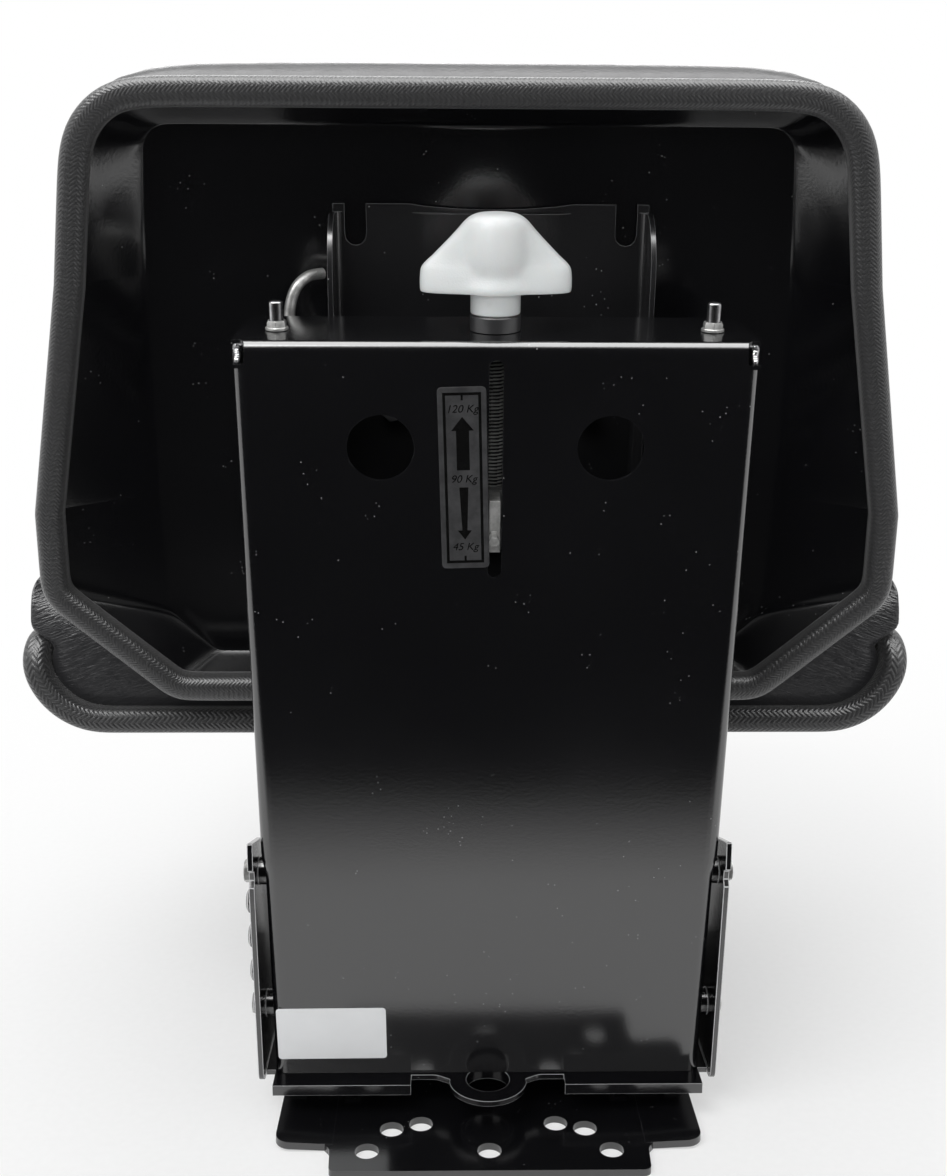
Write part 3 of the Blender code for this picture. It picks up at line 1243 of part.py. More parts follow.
def seat_arms():
    """Angle arms from the carrier bracket's flanges, under the seat pan, with the seat bolts."""
    low, high = ARM_Z
    for side, word in ((1, "left"), (-1, "right")):
        wall = BRACKET_HALF_W - BRACKET_T - GAP
        section = [
            (wall, low),
            (wall, high),
            (wall - 0.026, high),
            (wall - 0.026, high - ARM_T),
            (wall - ARM_T, high - ARM_T),
            (wall - ARM_T, low),
        ]
        outline = [(side * a, b) for a, b in section]
        arm = prism(f"seat_arm_{word}", outline, ARM_FRONT_Y, ARM_REAR_Y, "xz", BLACK, SEAT_FRAME_PARENT)
        under_trim = rectangle(SEAT_REAR_Y - 0.011, 0.2, SEAT_FLOOR_Z - TRIM_HALF_W - 0.001, 0.3)
        cut(arm, cutter(f"arm_step_{word}", [under_trim], -0.1, 0.1, "yz", SEAT_FRAME_PARENT))
        holes = [circle(side * SEAT_BOLT_X, y, SCREW_HOLE_R, 12) for y in SEAT_BOLT_Y]
        cut(arm, cutter(f"arm_holes_{word}", holes, 0.1, 0.3, "xy", SEAT_FRAME_PARENT))
        for y, row in zip(SEAT_BOLT_Y, ("rear", "front")):
            seat = (side * SEAT_BOLT_X, y, high - ARM_T - GAP)
            name = f"seat_bolt_{row}_{word}"
            hex_bolt(name, seat, (0.0, 0.0, 1.0), 0.0055, ZINC, SEAT_FRAME_PARENT)


def latch_lever():
    """The slide's release: a bent bar on a pin, with its tooth over the rack and a grip in front."""
    bracket_z = FOOT_Z + FOOT_T + GAP
    ear = [(LEVER_Y - 0.010, bracket_z), (LEVER_Y + 0.010, bracket_z), (LEVER_Y + 0.010, LEVER_Z)]
    ear += arc((LEVER_Y, LEVER_Z), 0.010, 0.0, 180.0, 6)
    bracket = prism("lever_bracket", ear, -0.0135, 0.0135, "yz", BLACK, SLIDE)
    gap = [rectangle(-0.2, 0.0, bracket_z + 0.002, 0.1)]
    cut(bracket, cutter("lever_gap", gap, -0.0095, 0.0095, "yz", SLIDE))
    pin = circle(LEVER_Y, LEVER_Z, LEVER_PIN_R, 12)
    join(bracket, prism("lever_pin", pin, -0.0150, 0.0150, "yz", ZINC, SLIDE))

    tooth_y = (RACK_Y[0] + RACK_Y[1]) / 2
    tip = BASE_T + GAP + RACK_H + GAP
    bar = [
        (LEVER_Y + 0.006, LEVER_Z - 0.006, 0.003),
        (LEVER_Y + 0.006, LEVER_Z + 0.006, 0.003),
        (tooth_y - 0.010, LEVER_Z + 0.006, 0.004),
        (-0.300, LEVER_Z + 0.030, 0.0),
        (-0.300, LEVER_Z + 0.022, 0.0),
        (tooth_y - 0.008, LEVER_Z - 0.003, 0.003),
        (tooth_y - 0.0024, LEVER_Z - 0.006, 0.0),
        (tooth_y - 0.0024, tip, 0.0),
        (tooth_y + 0.0024, tip, 0.0),
        (tooth_y + 0.0024, LEVER_Z - 0.006, 0.0),
    ]
    offset = [(y - LEVER_Y, z - LEVER_Z, radius) for y, z, radius in bar]
    lever = prism("latch_lever", rounded(offset, 3), -0.004, 0.004, "yz", BLACK, LEVER)
    pivot = prism("lever_boss", circle(0.0, 0.0, 0.0075, 16), -0.0090, 0.0090, "yz", BLACK, LEVER)
    join(lever, pivot)
    cut(lever, cutter("lever_bore", [circle(0.0, 0.0, LEVER_PIN_R + GAP, 12)], -0.03, 0.03, "yz", LEVER))
    grip = [(-0.152, 0.009, 0.004), (-0.152, 0.024, 0.004), (-0.210, 0.040, 0.006), (-0.210, 0.024, 0.006)]
    handle = prism("lever_grip", rounded(grip, 3), -0.011, 0.011, "yz", RUBBER, LEVER)
    bar_slot = extrusion([rounded(offset_path(offset, GAP), 3)], -0.004 - GAP, 0.004 + GAP, "yz")
    cut(handle, finish("grip_slot", bar_slot, RUBBER, LEVER))


def offset_path(corners, grow):
    """The lever's straight front stretch, grown by a clearance, to hollow its grip."""
    front, back = corners[3], corners[4]
    knee_top, knee_low = corners[2], corners[5]
    return [
        (knee_top[0], knee_top[1] + grow, 0.0),
        (front[0] - grow, front[1] + grow, 0.0),
        (back[0] - grow, back[1] - grow, 0.0),
        (knee_low[0], knee_low[1] - grow, 0.0),
    ]


def bent_rod():
    """The small bright bail on the carrier bracket's left flange."""
    x = BRACKET_HALF_W + GAP + 0.003
    path = [(x, 0.100, BOX_H + 0.026), (x + 0.004, 0.092, BOX_H + 0.022)]
    path += [(x + 0.010, 0.086, BOX_H + 0.012), (x + 0.013, 0.084, BOX_H - 0.004)]
    path += [(x + 0.012, 0.084, BOX_H - 0.016), (x + 0.006, 0.086, BOX_H - 0.026), (x, 0.090, BOX_H - 0.030)]
    spots = [(a, -b, s) for a, b, s in path]
    finish("bent_rod", tube_along(spots, 0.0028, 8), ZINC, CARRIAGE)


def build():
    clear_scene()
    global BLACK, GREY_PAINT, GREY_STEEL, BRIGHT_STEEL, ZINC, RUBBER, VINYL, WHITE_PLASTIC, KNOB_WHITE
    BLACK = material("gloss_black_paint", (0.012, 0.012, 0.013), 0.22)
    GREY_PAINT = material("black_frame_paint", (0.03, 0.03, 0.032), 0.45)
    GREY_STEEL = material("plain_steel", (0.30, 0.30, 0.31), 0.40, 1.0)
    BRIGHT_STEEL = material("ground_steel", (0.62, 0.62, 0.63), 0.18, 1.0)
    ZINC = material("zinc_plate", (0.60, 0.60, 0.58), 0.32, 1.0)
    RUBBER = material("rubber", (0.02, 0.02, 0.02), 0.80)
    VINYL = material("black_vinyl", (0.022, 0.022, 0.024), 0.48)
    WHITE_PLASTIC = material("white_plastic", (0.80, 0.80, 0.78), 0.45)
    KNOB_WHITE = material("knob_plastic", (0.78, 0.79, 0.78), 0.38)

    global FOOT_Z, BOX_Z, SLIDE, UPRIGHT, CARRIAGE, SPINDLE, NUT, LEVER, SEAT_FRAME_PARENT
    FOOT_Z = BASE_T + GAP + LOWER_RAIL_H + 0.0033
    BOX_Z = FOOT_Z + FOOT_T + GAP
    lean = math.radians(LEAN_DEG)
    SLIDE = empty("slide_axis", (0.0, 0.0, 0.0))
    UPRIGHT = empty("upright_frame", (0.0, BOX_Y, BOX_Z), SLIDE, -lean)
    CARRIAGE = empty("suspension_axis", (0.0, 0.0, 0.0), UPRIGHT)
    SPINDLE = empty("spindle_axis", (0.0, -SPINDLE_D, 0.0), UPRIGHT)
    NUT = empty("nut_axis", (0.0, 0.0, 0.0), UPRIGHT)
    LEVER = empty("lever_axis", (0.0, LEVER_Y, LEVER_Z), SLIDE)
    SEAT_FRAME_PARENT = empty("seat_frame", (0.0, 0.0, 0.0), CARRIAGE)
    bpy.context.view_layer.update()
    SEAT_FRAME_PARENT.matrix_parent_inverse = CARRIAGE.matrix_world.inverted()
    bpy.context.view_layer.update()

    base_plate()
    rails()
    latch_rack()
    foot_plate()
    suspension_box()
    side_plates()
    guide_rods()
    carriage()
    damper()
    weight_adjuster()
    carrier_bracket()
    backrest()
    seat_pan()
    seat_trim()
    seat_cushion()
    seat_arms()
    latch_lever()
    bent_rod()


build()
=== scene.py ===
"""The looks of the tractor suspension seat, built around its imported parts. Metres, +Z up.

Points on the leaning box are given as (x, d, s) in its upright frame: x across, d forward from
the box's rear face, s up along it from the foot."""

import json
import math

import bmesh
import bpy
import numpy as np
from mathutils import Matrix, Vector, noise
from mathutils.bvhtree import BVHTree


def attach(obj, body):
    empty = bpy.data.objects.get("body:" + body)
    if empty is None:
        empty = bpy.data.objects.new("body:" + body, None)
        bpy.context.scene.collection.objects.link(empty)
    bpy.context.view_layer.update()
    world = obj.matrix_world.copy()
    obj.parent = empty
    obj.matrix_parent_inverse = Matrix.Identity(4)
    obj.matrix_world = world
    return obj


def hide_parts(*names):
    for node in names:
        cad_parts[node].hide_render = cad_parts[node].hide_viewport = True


# The leaning box
BOX_FOOT = Vector((0.0, 0.100, 0.0229))
LEAN = math.radians(9.3)
UPRIGHT = Matrix.Translation(BOX_FOOT) @ Matrix.Rotation(-LEAN, 4, "X")
BOX_H = 0.4096
BOX_D = 0.063
BOX_T = 0.0025
BOX_HALF_W = 0.120
BOX_LOW_HALF_W = 0.1183
JOGGLE_S = (0.125, 0.139)
BEND_R = 0.007
TOP_BEND_R = 0.005
PORT_X = 0.0534
PORT_S = BOX_H - 0.049
PORT_R = 0.01565
SLOT_W = 0.0065
SLOT_S = (BOX_H - 0.113, BOX_H - 0.008)
RELIEF_R = 0.0042
PLATE_BOLT_S = (0.031, 0.118)
PLATE_BOLT_D = 0.022

# Base and foot plates
BASE_T = 0.004
BASE_REAR_Y = 0.161
BASE_FRONT_Y = -0.235
BASE_HALF_W = 0.1145
EAR_FOLD_X = 0.0880
EAR_FOLD_DEG = 3.0
EAR_REAR_Y = 0.138
TONGUE_HALF_W = 0.084
BOLT_HOLE_R = 0.0065
HOLE_ROWS = ((0.065, 0.1440), (0.0, 0.1440), (0.0526, 0.1247), (0.0368, 0.1200))
FOOT_Z = 0.0196
FOOT_T = 0.003
FOOT_FRONT_Y = -0.135
FOOT_HALF_W = 0.1237
STRIP_X = (0.0425, 0.1185)
STRIP_REACH = 0.012
TONGUE_R = 0.0215
TONGUE_REACH = 0.028
TONGUE_HOLE_R = 0.012

# Rods, spindle and knob
ROD_X = 0.102
ROD_D = 0.028
STUD_R = 0.0033
STUD_TOP = 0.0135
SPINDLE_D = 0.030
SPINDLE_R = 0.006
THREAD_PITCH = 0.00175
THREAD_DEPTH = 0.0011
STEM_R = 0.0117
STEM_S = (BOX_H + 0.0078, BOX_H + 0.0179)

# Backrest
SEAT_OFFSET_X = 0.011
SHEET_T = 0.0015
RIM_D = 0.084
RIM_LIP = 0.008
FLOOR_D = 0.1215
PAD_CLEAR = 0.0015
PAD_CROWN = 0.0045
SHEET_LOOK = 0.030
TRIM_HALF_W = 0.0072
TRIM_OVER = 0.0060
TRIM_UNDER = 0.0070
TRIM_REACH = 0.0183

# Seat
SEAT_FLOOR_Z = 0.204
SEAT_REAR_Y = 0.023
SEAT_FRONT_Y = -0.385
SEAT_HALF_W = (0.2500, 0.2320)
SEAT_WALL_H = 0.045
SEAT_WALL_R = 0.040
SEAT_CORNER_R = 0.018
WALL_FADE = 0.62
FRONT_WALL_SHARE = 0.45
FRONT_CORNER = 0.035
FRONT_DROOP = 0.012
CORNER_HALF_W = 0.2525
CORNER_UP = 0.009

# Label and sticker, as places on the box's rear face
LABEL_HALF_W = 0.01125
LABEL_HALF_H = 0.044
LABEL_AT = (0.0148, BOX_H - 0.0640)
LABEL_LEAN_DEG = 1.6
STICKER_HALF = (0.030, 0.017)
STICKER_AT = (0.0860, 0.0272)

# Hidden pieces: the carriage's run on the rods, its stops and the springs
CARRIAGE_S = (0.110, 0.300)
STOP_H = 0.012
SUSPENSION_TRAVEL = 0.080
ROD_CLEAR = 0.0003
STOP_R = 0.0112
STOP_BORE = 0.0073
SPRING_AT = (0.047, 0.0245)
COIL_R = 0.0115
WIRE_R = 0.0016

SIDES = ((1, "left"), (-1, "right"))

# The photograph's camera, in pixels where it says so
PHOTO_SIZE = (947, 1176)
FOCAL_PX = 1377.7
CAMERA_AT = (0.02135, 0.794, 0.452)
CAMERA_PITCH_DEG = 12.36
CAMERA_TURN_DEG = 1.02
CAMERA_ROLL_DEG = 0.25

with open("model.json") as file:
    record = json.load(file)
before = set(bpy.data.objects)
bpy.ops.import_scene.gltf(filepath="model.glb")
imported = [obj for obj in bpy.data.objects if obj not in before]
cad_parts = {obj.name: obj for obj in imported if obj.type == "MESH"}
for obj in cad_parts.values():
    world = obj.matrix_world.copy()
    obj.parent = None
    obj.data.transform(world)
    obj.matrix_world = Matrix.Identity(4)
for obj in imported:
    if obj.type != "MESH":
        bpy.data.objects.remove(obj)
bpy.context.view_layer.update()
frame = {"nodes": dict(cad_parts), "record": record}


# Materials


class Nodes:
    """A short way to write a material's nodes."""

    def __init__(self, name):
        self.material = bpy.data.materials.new(name)
        self.material.use_nodes = True
        self.tree = self.material.node_tree
        self.shader = self.tree.nodes["Principled BSDF"]
        self.place = self.add("ShaderNodeTexCoord").outputs["Object"]

    def add(self, kind, **settings):
        node = self.tree.nodes.new(kind)
        for key, value in settings.items():
            setattr(node, key, value)
        return node

    def link(self, source, target):
        self.tree.links.new(source, target)

    def put(self, socket, value):
        if isinstance(value, bpy.types.NodeSocket):
            self.link(value, socket)
        else:
            socket.default_value = value

    def math(self, operation, first, second=0.0, third=0.0):
        node = self.add("ShaderNodeMath", operation=operation)
        for socket, value in zip(node.inputs, (first, second, third)):
            self.put(socket, value)
        return node.outputs[0]

    def noise(self, scale, detail=2.0, roughness=0.5, place=None):
        node = self.add("ShaderNodeTexNoise")
        node.inputs["Scale"].default_value = scale
        node.inputs["Detail"].default_value = detail
        node.inputs["Roughness"].default_value = roughness
        self.link(place or self.place, node.inputs["Vector"])
        return node.outputs[0]

    def cells(self, scale, feature="F1"):
        node = self.add("ShaderNodeTexVoronoi", feature=feature)
        node.inputs["Scale"].default_value = scale
        self.link(self.place, node.inputs["Vector"])
        return node.outputs["Distance"]

    def ramp(self, value, low, high, start=0.0, end=1.0):
        """value from start to end as the input goes from low to high."""
        node = self.add("ShaderNodeMapRange")
        node.inputs["From Min"].default_value = low
        node.inputs["From Max"].default_value = high
        node.inputs["To Min"].default_value = start
        node.inputs["To Max"].default_value = end
        self.link(value, node.inputs["Value"])
        return node.outputs["Result"]

    def mix(self, share, first, second):
        node = self.add("ShaderNodeMix", data_type="RGBA")
        self.put(node.inputs["Factor"], share)
        self.put(node.inputs[6], first if isinstance(first, bpy.types.NodeSocket) else (*first, 1.0))
        self.put(node.inputs[7], second if isinstance(second, bpy.types.NodeSocket) else (*second, 1.0))
        return node.outputs[2]

    def bump(self, height, distance, strength=1.0, before=None):
        node = self.add("ShaderNodeBump")
        node.inputs["Distance"].default_value = distance
        node.inputs["Strength"].default_value = strength
        self.link(height, node.inputs["Height"])
        if before is not None:
            self.link(before, node.inputs["Normal"])
        return node.outputs["Normal"]

    def set(self, **values):
        names = {
            "color": "Base Color",
            "roughness": "Roughness",
            "metallic": "Metallic",
            "ior": "IOR",
            "normal": "Normal",
            "sheen": "Sheen Weight",
            "subsurface": "Subsurface Weight",
        }
        for key, value in values.items():
            socket = self.shader.inputs[names[key]]
            if isinstance(value, tuple):
                value = (*value, 1.0)
            self.put(socket, value)
        return self.material


def paint(name, color, roughness, dust=0.35):
    """Sprayed enamel: orange peel, a slow change of gloss, and specks of dust in it."""
    n = Nodes(name)
    peel = n.noise(620.0, 2.0)
    slow = n.noise(9.0, 3.0)
    specks = n.math("LESS_THAN", n.cells(330.0), 0.10)
    gate = n.math("GREATER_THAN", n.noise(60.0, 2.0), 0.62)
    dusty = n.math("MULTIPLY", n.math("MULTIPLY", specks, gate), dust)
    tone = n.mix(n.ramp(slow, 0.3, 0.7), color, tuple(c * 1.25 for c in color))
    return n.set(
        color=n.mix(dusty, tone, (0.42, 0.42, 0.43)),
        roughness=n.ramp(slow, 0.3, 0.75, roughness * 0.85, roughness * 1.25),
        ior=1.98,
        normal=n.bump(peel, 0.00004, 0.6),
    )


def metal(name, color, roughness, metallic=1.0, grain=700.0):
    """Plated or ground steel with a fine scratched grain and dull patches."""
    n = Nodes(name)
    fine = n.noise(grain, 4.0, 0.65)
    slow = n.noise(110.0, 4.0, 0.6)
    return n.set(
        color=n.mix(n.ramp(slow, 0.40, 0.60), color, tuple(c * 0.55 for c in color)),
        metallic=metallic,
        roughness=n.ramp(slow, 0.3, 0.7, roughness, roughness * 1.5),
        normal=n.bump(fine, 0.00004, 0.5),
    )


def vinyl(name, creased=False):
    """Grained black seat vinyl, with fine creases fanned over the rear corners where it is pulled."""
    n = Nodes(name)
    grain = n.cells(780.0, "SMOOTH_F1")
    fold = n.noise(160.0, 3.0, 0.6)
    slow = n.noise(14.0, 2.0)
    height = n.math("ADD", grain, n.math("MULTIPLY", fold, 0.6))
    normal = n.bump(height, 0.00022, 0.55)
    if creased:
        split = n.add("ShaderNodeSeparateXYZ")
        n.link(n.place, split.inputs[0])
        x, y, z = split.outputs
        side = n.math("ABSOLUTE", n.math("SUBTRACT", x, SEAT_OFFSET_X))
        fan = n.add("ShaderNodeCombineXYZ")
        n.link(n.math("MULTIPLY", side, 0.16), fan.inputs[0])
        n.link(n.math("MULTIPLY", y, 0.16), fan.inputs[1])
        n.link(n.math("MULTIPLY_ADD", side, 0.30, z), fan.inputs[2])
        lines = n.noise(470.0, 2.0, 0.55, fan.outputs[0])
        ridged = n.math("ABSOLUTE", n.math("SUBTRACT", lines, 0.5))
        pulled = n.math("MULTIPLY", n.ramp(y, -0.13, -0.03), n.ramp(side, 0.12, 0.19))
        normal = n.bump(n.math("MULTIPLY", ridged, pulled), 0.0014, 0.7, normal)
    return n.set(
        color=n.mix(n.ramp(slow, 0.3, 0.7), (0.016, 0.016, 0.018), (0.024, 0.024, 0.026)),
        roughness=n.ramp(fold, 0.3, 0.7, 0.30, 0.42),
        ior=1.60,
        sheen=0.08,
        normal=normal,
    )


def trim_rubber(name, rib, weave, depth):
    """The edge trim's skin, from its UV in metres (along the run, away from the crest): cross ribs on the
    crest, a herringbone of two rows over it, painted shade in their grooves and a painted highlight along the
    lip."""
    n = Nodes(name)
    split = n.add("ShaderNodeSeparateXYZ")
    n.link(n.add("ShaderNodeUVMap").outputs["UV"], split.inputs[0])
    along, across = split.outputs[0], split.outputs[1]
    away = n.math("ABSOLUTE", across)
    ribs = n.math("SINE", n.math("MULTIPLY", along, 2 * math.pi / rib))
    slanted = n.math("ADD", along, n.math("PINGPONG", across, 0.0034))
    chevrons = n.math("SINE", n.math("MULTIPLY", slanted, 2 * math.pi / weave))
    pores = n.noise(1100.0, 3.0)
    height = n.math("ADD", n.math("MULTIPLY", ribs, depth[0]), n.math("MULTIPLY", chevrons, depth[1]))
    height = n.math("MULTIPLY_ADD", pores, 0.9, height)
    # A pale band along the lip's edge: a painted highlight.
    lip = n.ramp(away, TRIM_REACH - 0.0016, TRIM_REACH - 0.0006)
    # Darker in the grooves of the ribs and herringbone, which is painted shade, and mottled by the pores.
    skin = n.mix(n.ramp(height, -0.6, 1.3), (0.018, 0.018, 0.019), (0.038, 0.038, 0.039))
    return n.set(
        color=n.mix(lip, skin, (0.22, 0.22, 0.22)),
        roughness=n.ramp(pores, 0.3, 0.7, 0.30, 0.42),
        ior=1.62,
        sheen=0.16,
        normal=n.bump(height, 0.00022, 0.7),
    )


def plastic(name, color, roughness, grain, depth, subsurface=0.0):
    n = Nodes(name)
    fine = n.noise(grain, 2.0)
    slow = n.noise(40.0, 3.0)
    return n.set(
        color=n.mix(n.ramp(slow, 0.3, 0.7), color, tuple(c * 0.94 for c in color)),
        roughness=n.ramp(fine, 0.3, 0.7, roughness * 0.85, roughness * 1.15),
        normal=n.bump(fine, depth, 0.5),
        subsurface=subsurface,
    )


PAINTS = {
    "gloss_black_paint": paint("gloss_black_paint", (0.0035, 0.0035, 0.0042), 0.15, 0.55),
    "black_frame_paint": paint("black_frame_paint", (0.020, 0.020, 0.022), 0.42, 0.15),
    "plain_steel": metal("plain_steel", (0.30, 0.30, 0.31), 0.38),
    "ground_steel": metal("ground_steel", (0.62, 0.62, 0.63), 0.18),
    "zinc_plate": metal("zinc_plate", (0.55, 0.55, 0.54), 0.28, 0.65),
    "rubber": plastic("rubber", (0.018, 0.018, 0.018), 0.75, 500.0, 0.00010),
    "black_vinyl": vinyl("black_vinyl"),
    "white_plastic": plastic("white_plastic", (0.80, 0.80, 0.78), 0.45, 600.0, 0.00005),
    "knob_plastic": plastic("knob_plastic", (0.62, 0.64, 0.64), 0.45, 1400.0, 0.00022, 0.05),
}
# Pale grey put on the broken edges of the gloss black pieces: a painted highlight along their rounded edges.
EDGE_HIGHLIGHT = paint("painted_edge_highlight", (0.42, 0.42, 0.43), 0.25)
BRACKET_BLACK = paint("bracket_black_paint", (0.010, 0.010, 0.011), 0.24, 0.9)
SEAT_VINYL = vinyl("creased_vinyl", True)
BACKREST_TRIM = trim_rubber("backrest_trim_skin", 0.0028, 0.0021, (0.30, 0.34))
SEAT_TRIM = trim_rubber("seat_trim_skin", 0.0031, 0.0031, (0.05, 0.75))


# Mesh helpers


def arc(center, radius, start_deg, end_deg, steps):
    """Points on an arc, both ends included."""
    angles = np.radians(np.linspace(start_deg, end_deg, steps + 1))
    return [(center[0] + radius * math.cos(a), center[1] + radius * math.sin(a)) for a in angles]


def circle(a, b, radius, steps=48):
    return arc((a, b), radius, 0.0, 360.0 - 360.0 / steps, steps - 1)


def rectangle(a0, a1, b0, b1):
    return [(a0, b0), (a1, b0), (a1, b1), (a0, b1)]


def mirrored(half):
    """A closed outline from its right half, given from one end of the centre line to the other."""
    left = [(-corner[0], *corner[1:]) for corner in reversed(half) if corner[0] > 1e-9]
    return list(half) + left


def rounded(corners, steps=10, between=0):
    """An outline of (a, b, radius) corners, each rounded, with points between them on the straights."""
    arcs = []
    for k, (a, b, radius) in enumerate(corners):
        here = Vector((a, b))
        before = (Vector(corners[k - 1][:2]) - here).normalized()
        after = (Vector(corners[(k + 1) % len(corners)][:2]) - here).normalized()
        half = before.angle(after) / 2
        if radius <= 0.0 or half > math.pi / 2 - 1e-4:
            arcs.append([here.copy() for _ in range(steps + 1)] if between else [here])
            continue
        reach = radius / math.tan(half)
        center = here + (before + after).normalized() * radius / math.sin(half)
        first = here + before * reach - center
        turn = first.angle_signed(here + after * reach - center)
        spots = []
        for step in range(steps + 1):
            angle = -turn * step / steps
            x = first.x * math.cos(angle) - first.y * math.sin(angle)
            y = first.x * math.sin(angle) + first.y * math.cos(angle)
            spots.append(Vector((center.x + x, center.y + y)))
        arcs.append(spots)
    points = []
    for k, spots in enumerate(arcs):
        points += spots
        ahead = arcs[(k + 1) % len(arcs)][0]
        for step in range(1, between + 1):
            points.append(spots[-1].lerp(ahead, step / (between + 1)))
    return [tuple(point) for point in points]


PLANES = {
    "xy": lambda a, b, t: (a, b, t),
    "xs": lambda a, b, t: (a, -t, b),
    "ds": lambda a, b, t: (t, -a, b),
    "xd": lambda a, b, t: (a, -b, t),
}


def extrusion(outlines, low, high, plane, matrix=None):
    """Each outline pushed from low to high along the axis that its plane leaves out."""
    place = PLANES[plane]
    bm = bmesh.new()
    for outline in outlines:
        face = bm.faces.new([bm.verts.new(place(a, b, low)) for a, b in outline])
        pushed = bmesh.ops.extrude_face_region(bm, geom=[face])["geom"]
        tops = [item for item in pushed if isinstance(item, bmesh.types.BMVert)]
        bmesh.ops.translate(bm, verts=tops, vec=Vector(place(0.0, 0.0, high)) - Vector(place(0.0, 0.0, low)))
    return settled(bm, matrix)


def settled(bm, matrix=None):
    if matrix is not None:
        bmesh.ops.transform(bm, matrix=matrix, verts=bm.verts)
    bmesh.ops.recalc_face_normals(bm, faces=bm.faces)
    return bm


def loft(rings, matrix=None, closed=False):
    """Skins rings of equal length."""
    bm = bmesh.new()
    rows = [[bm.verts.new(point) for point in ring] for ring in rings]
    pairs = list(zip(rows, rows[1:]))
    if closed:
        pairs.append((rows[-1], rows[0]))
    for below, above in pairs:
        for k, vert in enumerate(below):
            after = (k + 1) % len(below)
            bm.faces.new((vert, below[after], above[after], above[k]))
    if not closed:
        bm.faces.new(rows[-1])
        bm.faces.new(rows[0])
    return settled(bm, matrix)


def turned(profile, center, steps=64, bore=None):
    """A turned piece on the upright frame's height: profile gives (radius, height)."""
    spots = list(profile)
    if bore is not None:
        spots += [(bore, profile[-1][1]), (bore, profile[0][1])]
    rings = []
    for radius, height in spots:
        rings.append([(*point, height) for point in circle(*center, radius, steps)])
    return loft(rings, UPRIGHT, closed=bore is not None)


def object_of(name, bm, finish=None):
    mesh = bpy.data.meshes.new(name)
    bm.to_mesh(mesh)
    bm.free()
    if finish is not None:
        mesh.materials.append(finish)
    obj = bpy.data.objects.new(name, mesh)
    bpy.context.scene.collection.objects.link(obj)
    return obj


def finished_mesh(obj):
    """An object's mesh after its modifiers."""
    bpy.context.view_layer.update()
    return bpy.data.meshes.new_from_object(obj.evaluated_get(bpy.context.evaluated_depsgraph_get()))


def carved(bm, cutters=(), joins=()):
    """The mesh after its Booleans, as a new bmesh."""
    obj = object_of("carving", bm)
    others = []
    for operation, shapes in (("UNION", joins), ("DIFFERENCE", cutters)):
        for shape in shapes:
            other = object_of("cutter", shape)
            modifier = obj.modifiers.new("cut", "BOOLEAN")
            modifier.operation = operation
            modifier.object = other
            others.append(other)
    made = bmesh.new()
    made.from_mesh(finished_mesh(obj))
    for spare in [obj] + others:
        bpy.data.objects.remove(spare, do_unlink=True)
    return made


def broken_edges(bm, width, angle_deg=32.0):
    """Flat faces become whole and sharp edges get the small round that a real edge has."""
    bmesh.ops.remove_doubles(bm, verts=bm.verts, dist=0.00001)
    bmesh.ops.dissolve_limit(bm, angle_limit=math.radians(0.6), verts=bm.verts, edges=bm.edges)
    limit = math.radians(angle_deg)
    sharp = [e for e in bm.edges if len(e.link_faces) == 2 and e.calc_face_angle(0.0) > limit]
    # The bevel's faces take the second material, which on gloss black pieces is the painted edge highlight.
    bmesh.ops.bevel(
        bm,
        geom=sharp,
        offset=width,
        offset_type="OFFSET",
        segments=2,
        profile=0.5,
        affect="EDGES",
        clamp_overlap=True,
        material=1,
    )
    return bm


def piece(name, bm, slot, body, replaces=(), finish=None, crease_deg=40.0):
    """A finished piece of the object, with smooth shading that keeps flat faces flat."""
    obj = object_of(name, bm, finish or PAINTS[slot])
    # Gloss black pieces get the painted edge highlight on their broken edges.
    if slot == "gloss_black_paint":
        obj.data.materials.append(EDGE_HIGHLIGHT)
    obj.data.shade_smooth()
    obj.data.set_sharp_from_angle(angle=math.radians(crease_deg))
    weigh = obj.modifiers.new("normals", "WEIGHTED_NORMAL")
    weigh.keep_sharp = True
    weigh.weight = 80
    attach(obj, body)
    if replaces:
        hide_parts(*replaces)
    return obj


def node_mesh(node):
    """A CAD node's mesh as a bmesh, its doubled edge points joined again."""
    bm = bmesh.new()
    bm.from_mesh(frame["nodes"][node].data)
    bmesh.ops.remove_doubles(bm, verts=bm.verts, dist=0.00001)
    return bm


def softened(node, slot, body, finish=None):
    """A copy of a CAD node with its edges broken, which stands for the node."""
    bm = broken_edges(node_mesh(node), 0.0004)
    piece(f"{node}_finished", bm, slot, body, (node,), finish)


# Suspension box


def box_section(half_width, s):
    bend, sheet = BEND_R, BOX_T
    half = arc((half_width - bend, bend), bend, -90.0, 0.0, 14)
    half += [(half_width, BOX_D), (half_width - sheet, BOX_D)]
    half += arc((half_width - bend, bend), bend - sheet, 0.0, -90.0, 14)
    return [(a, -b, s) for a, b in mirrored(half)]


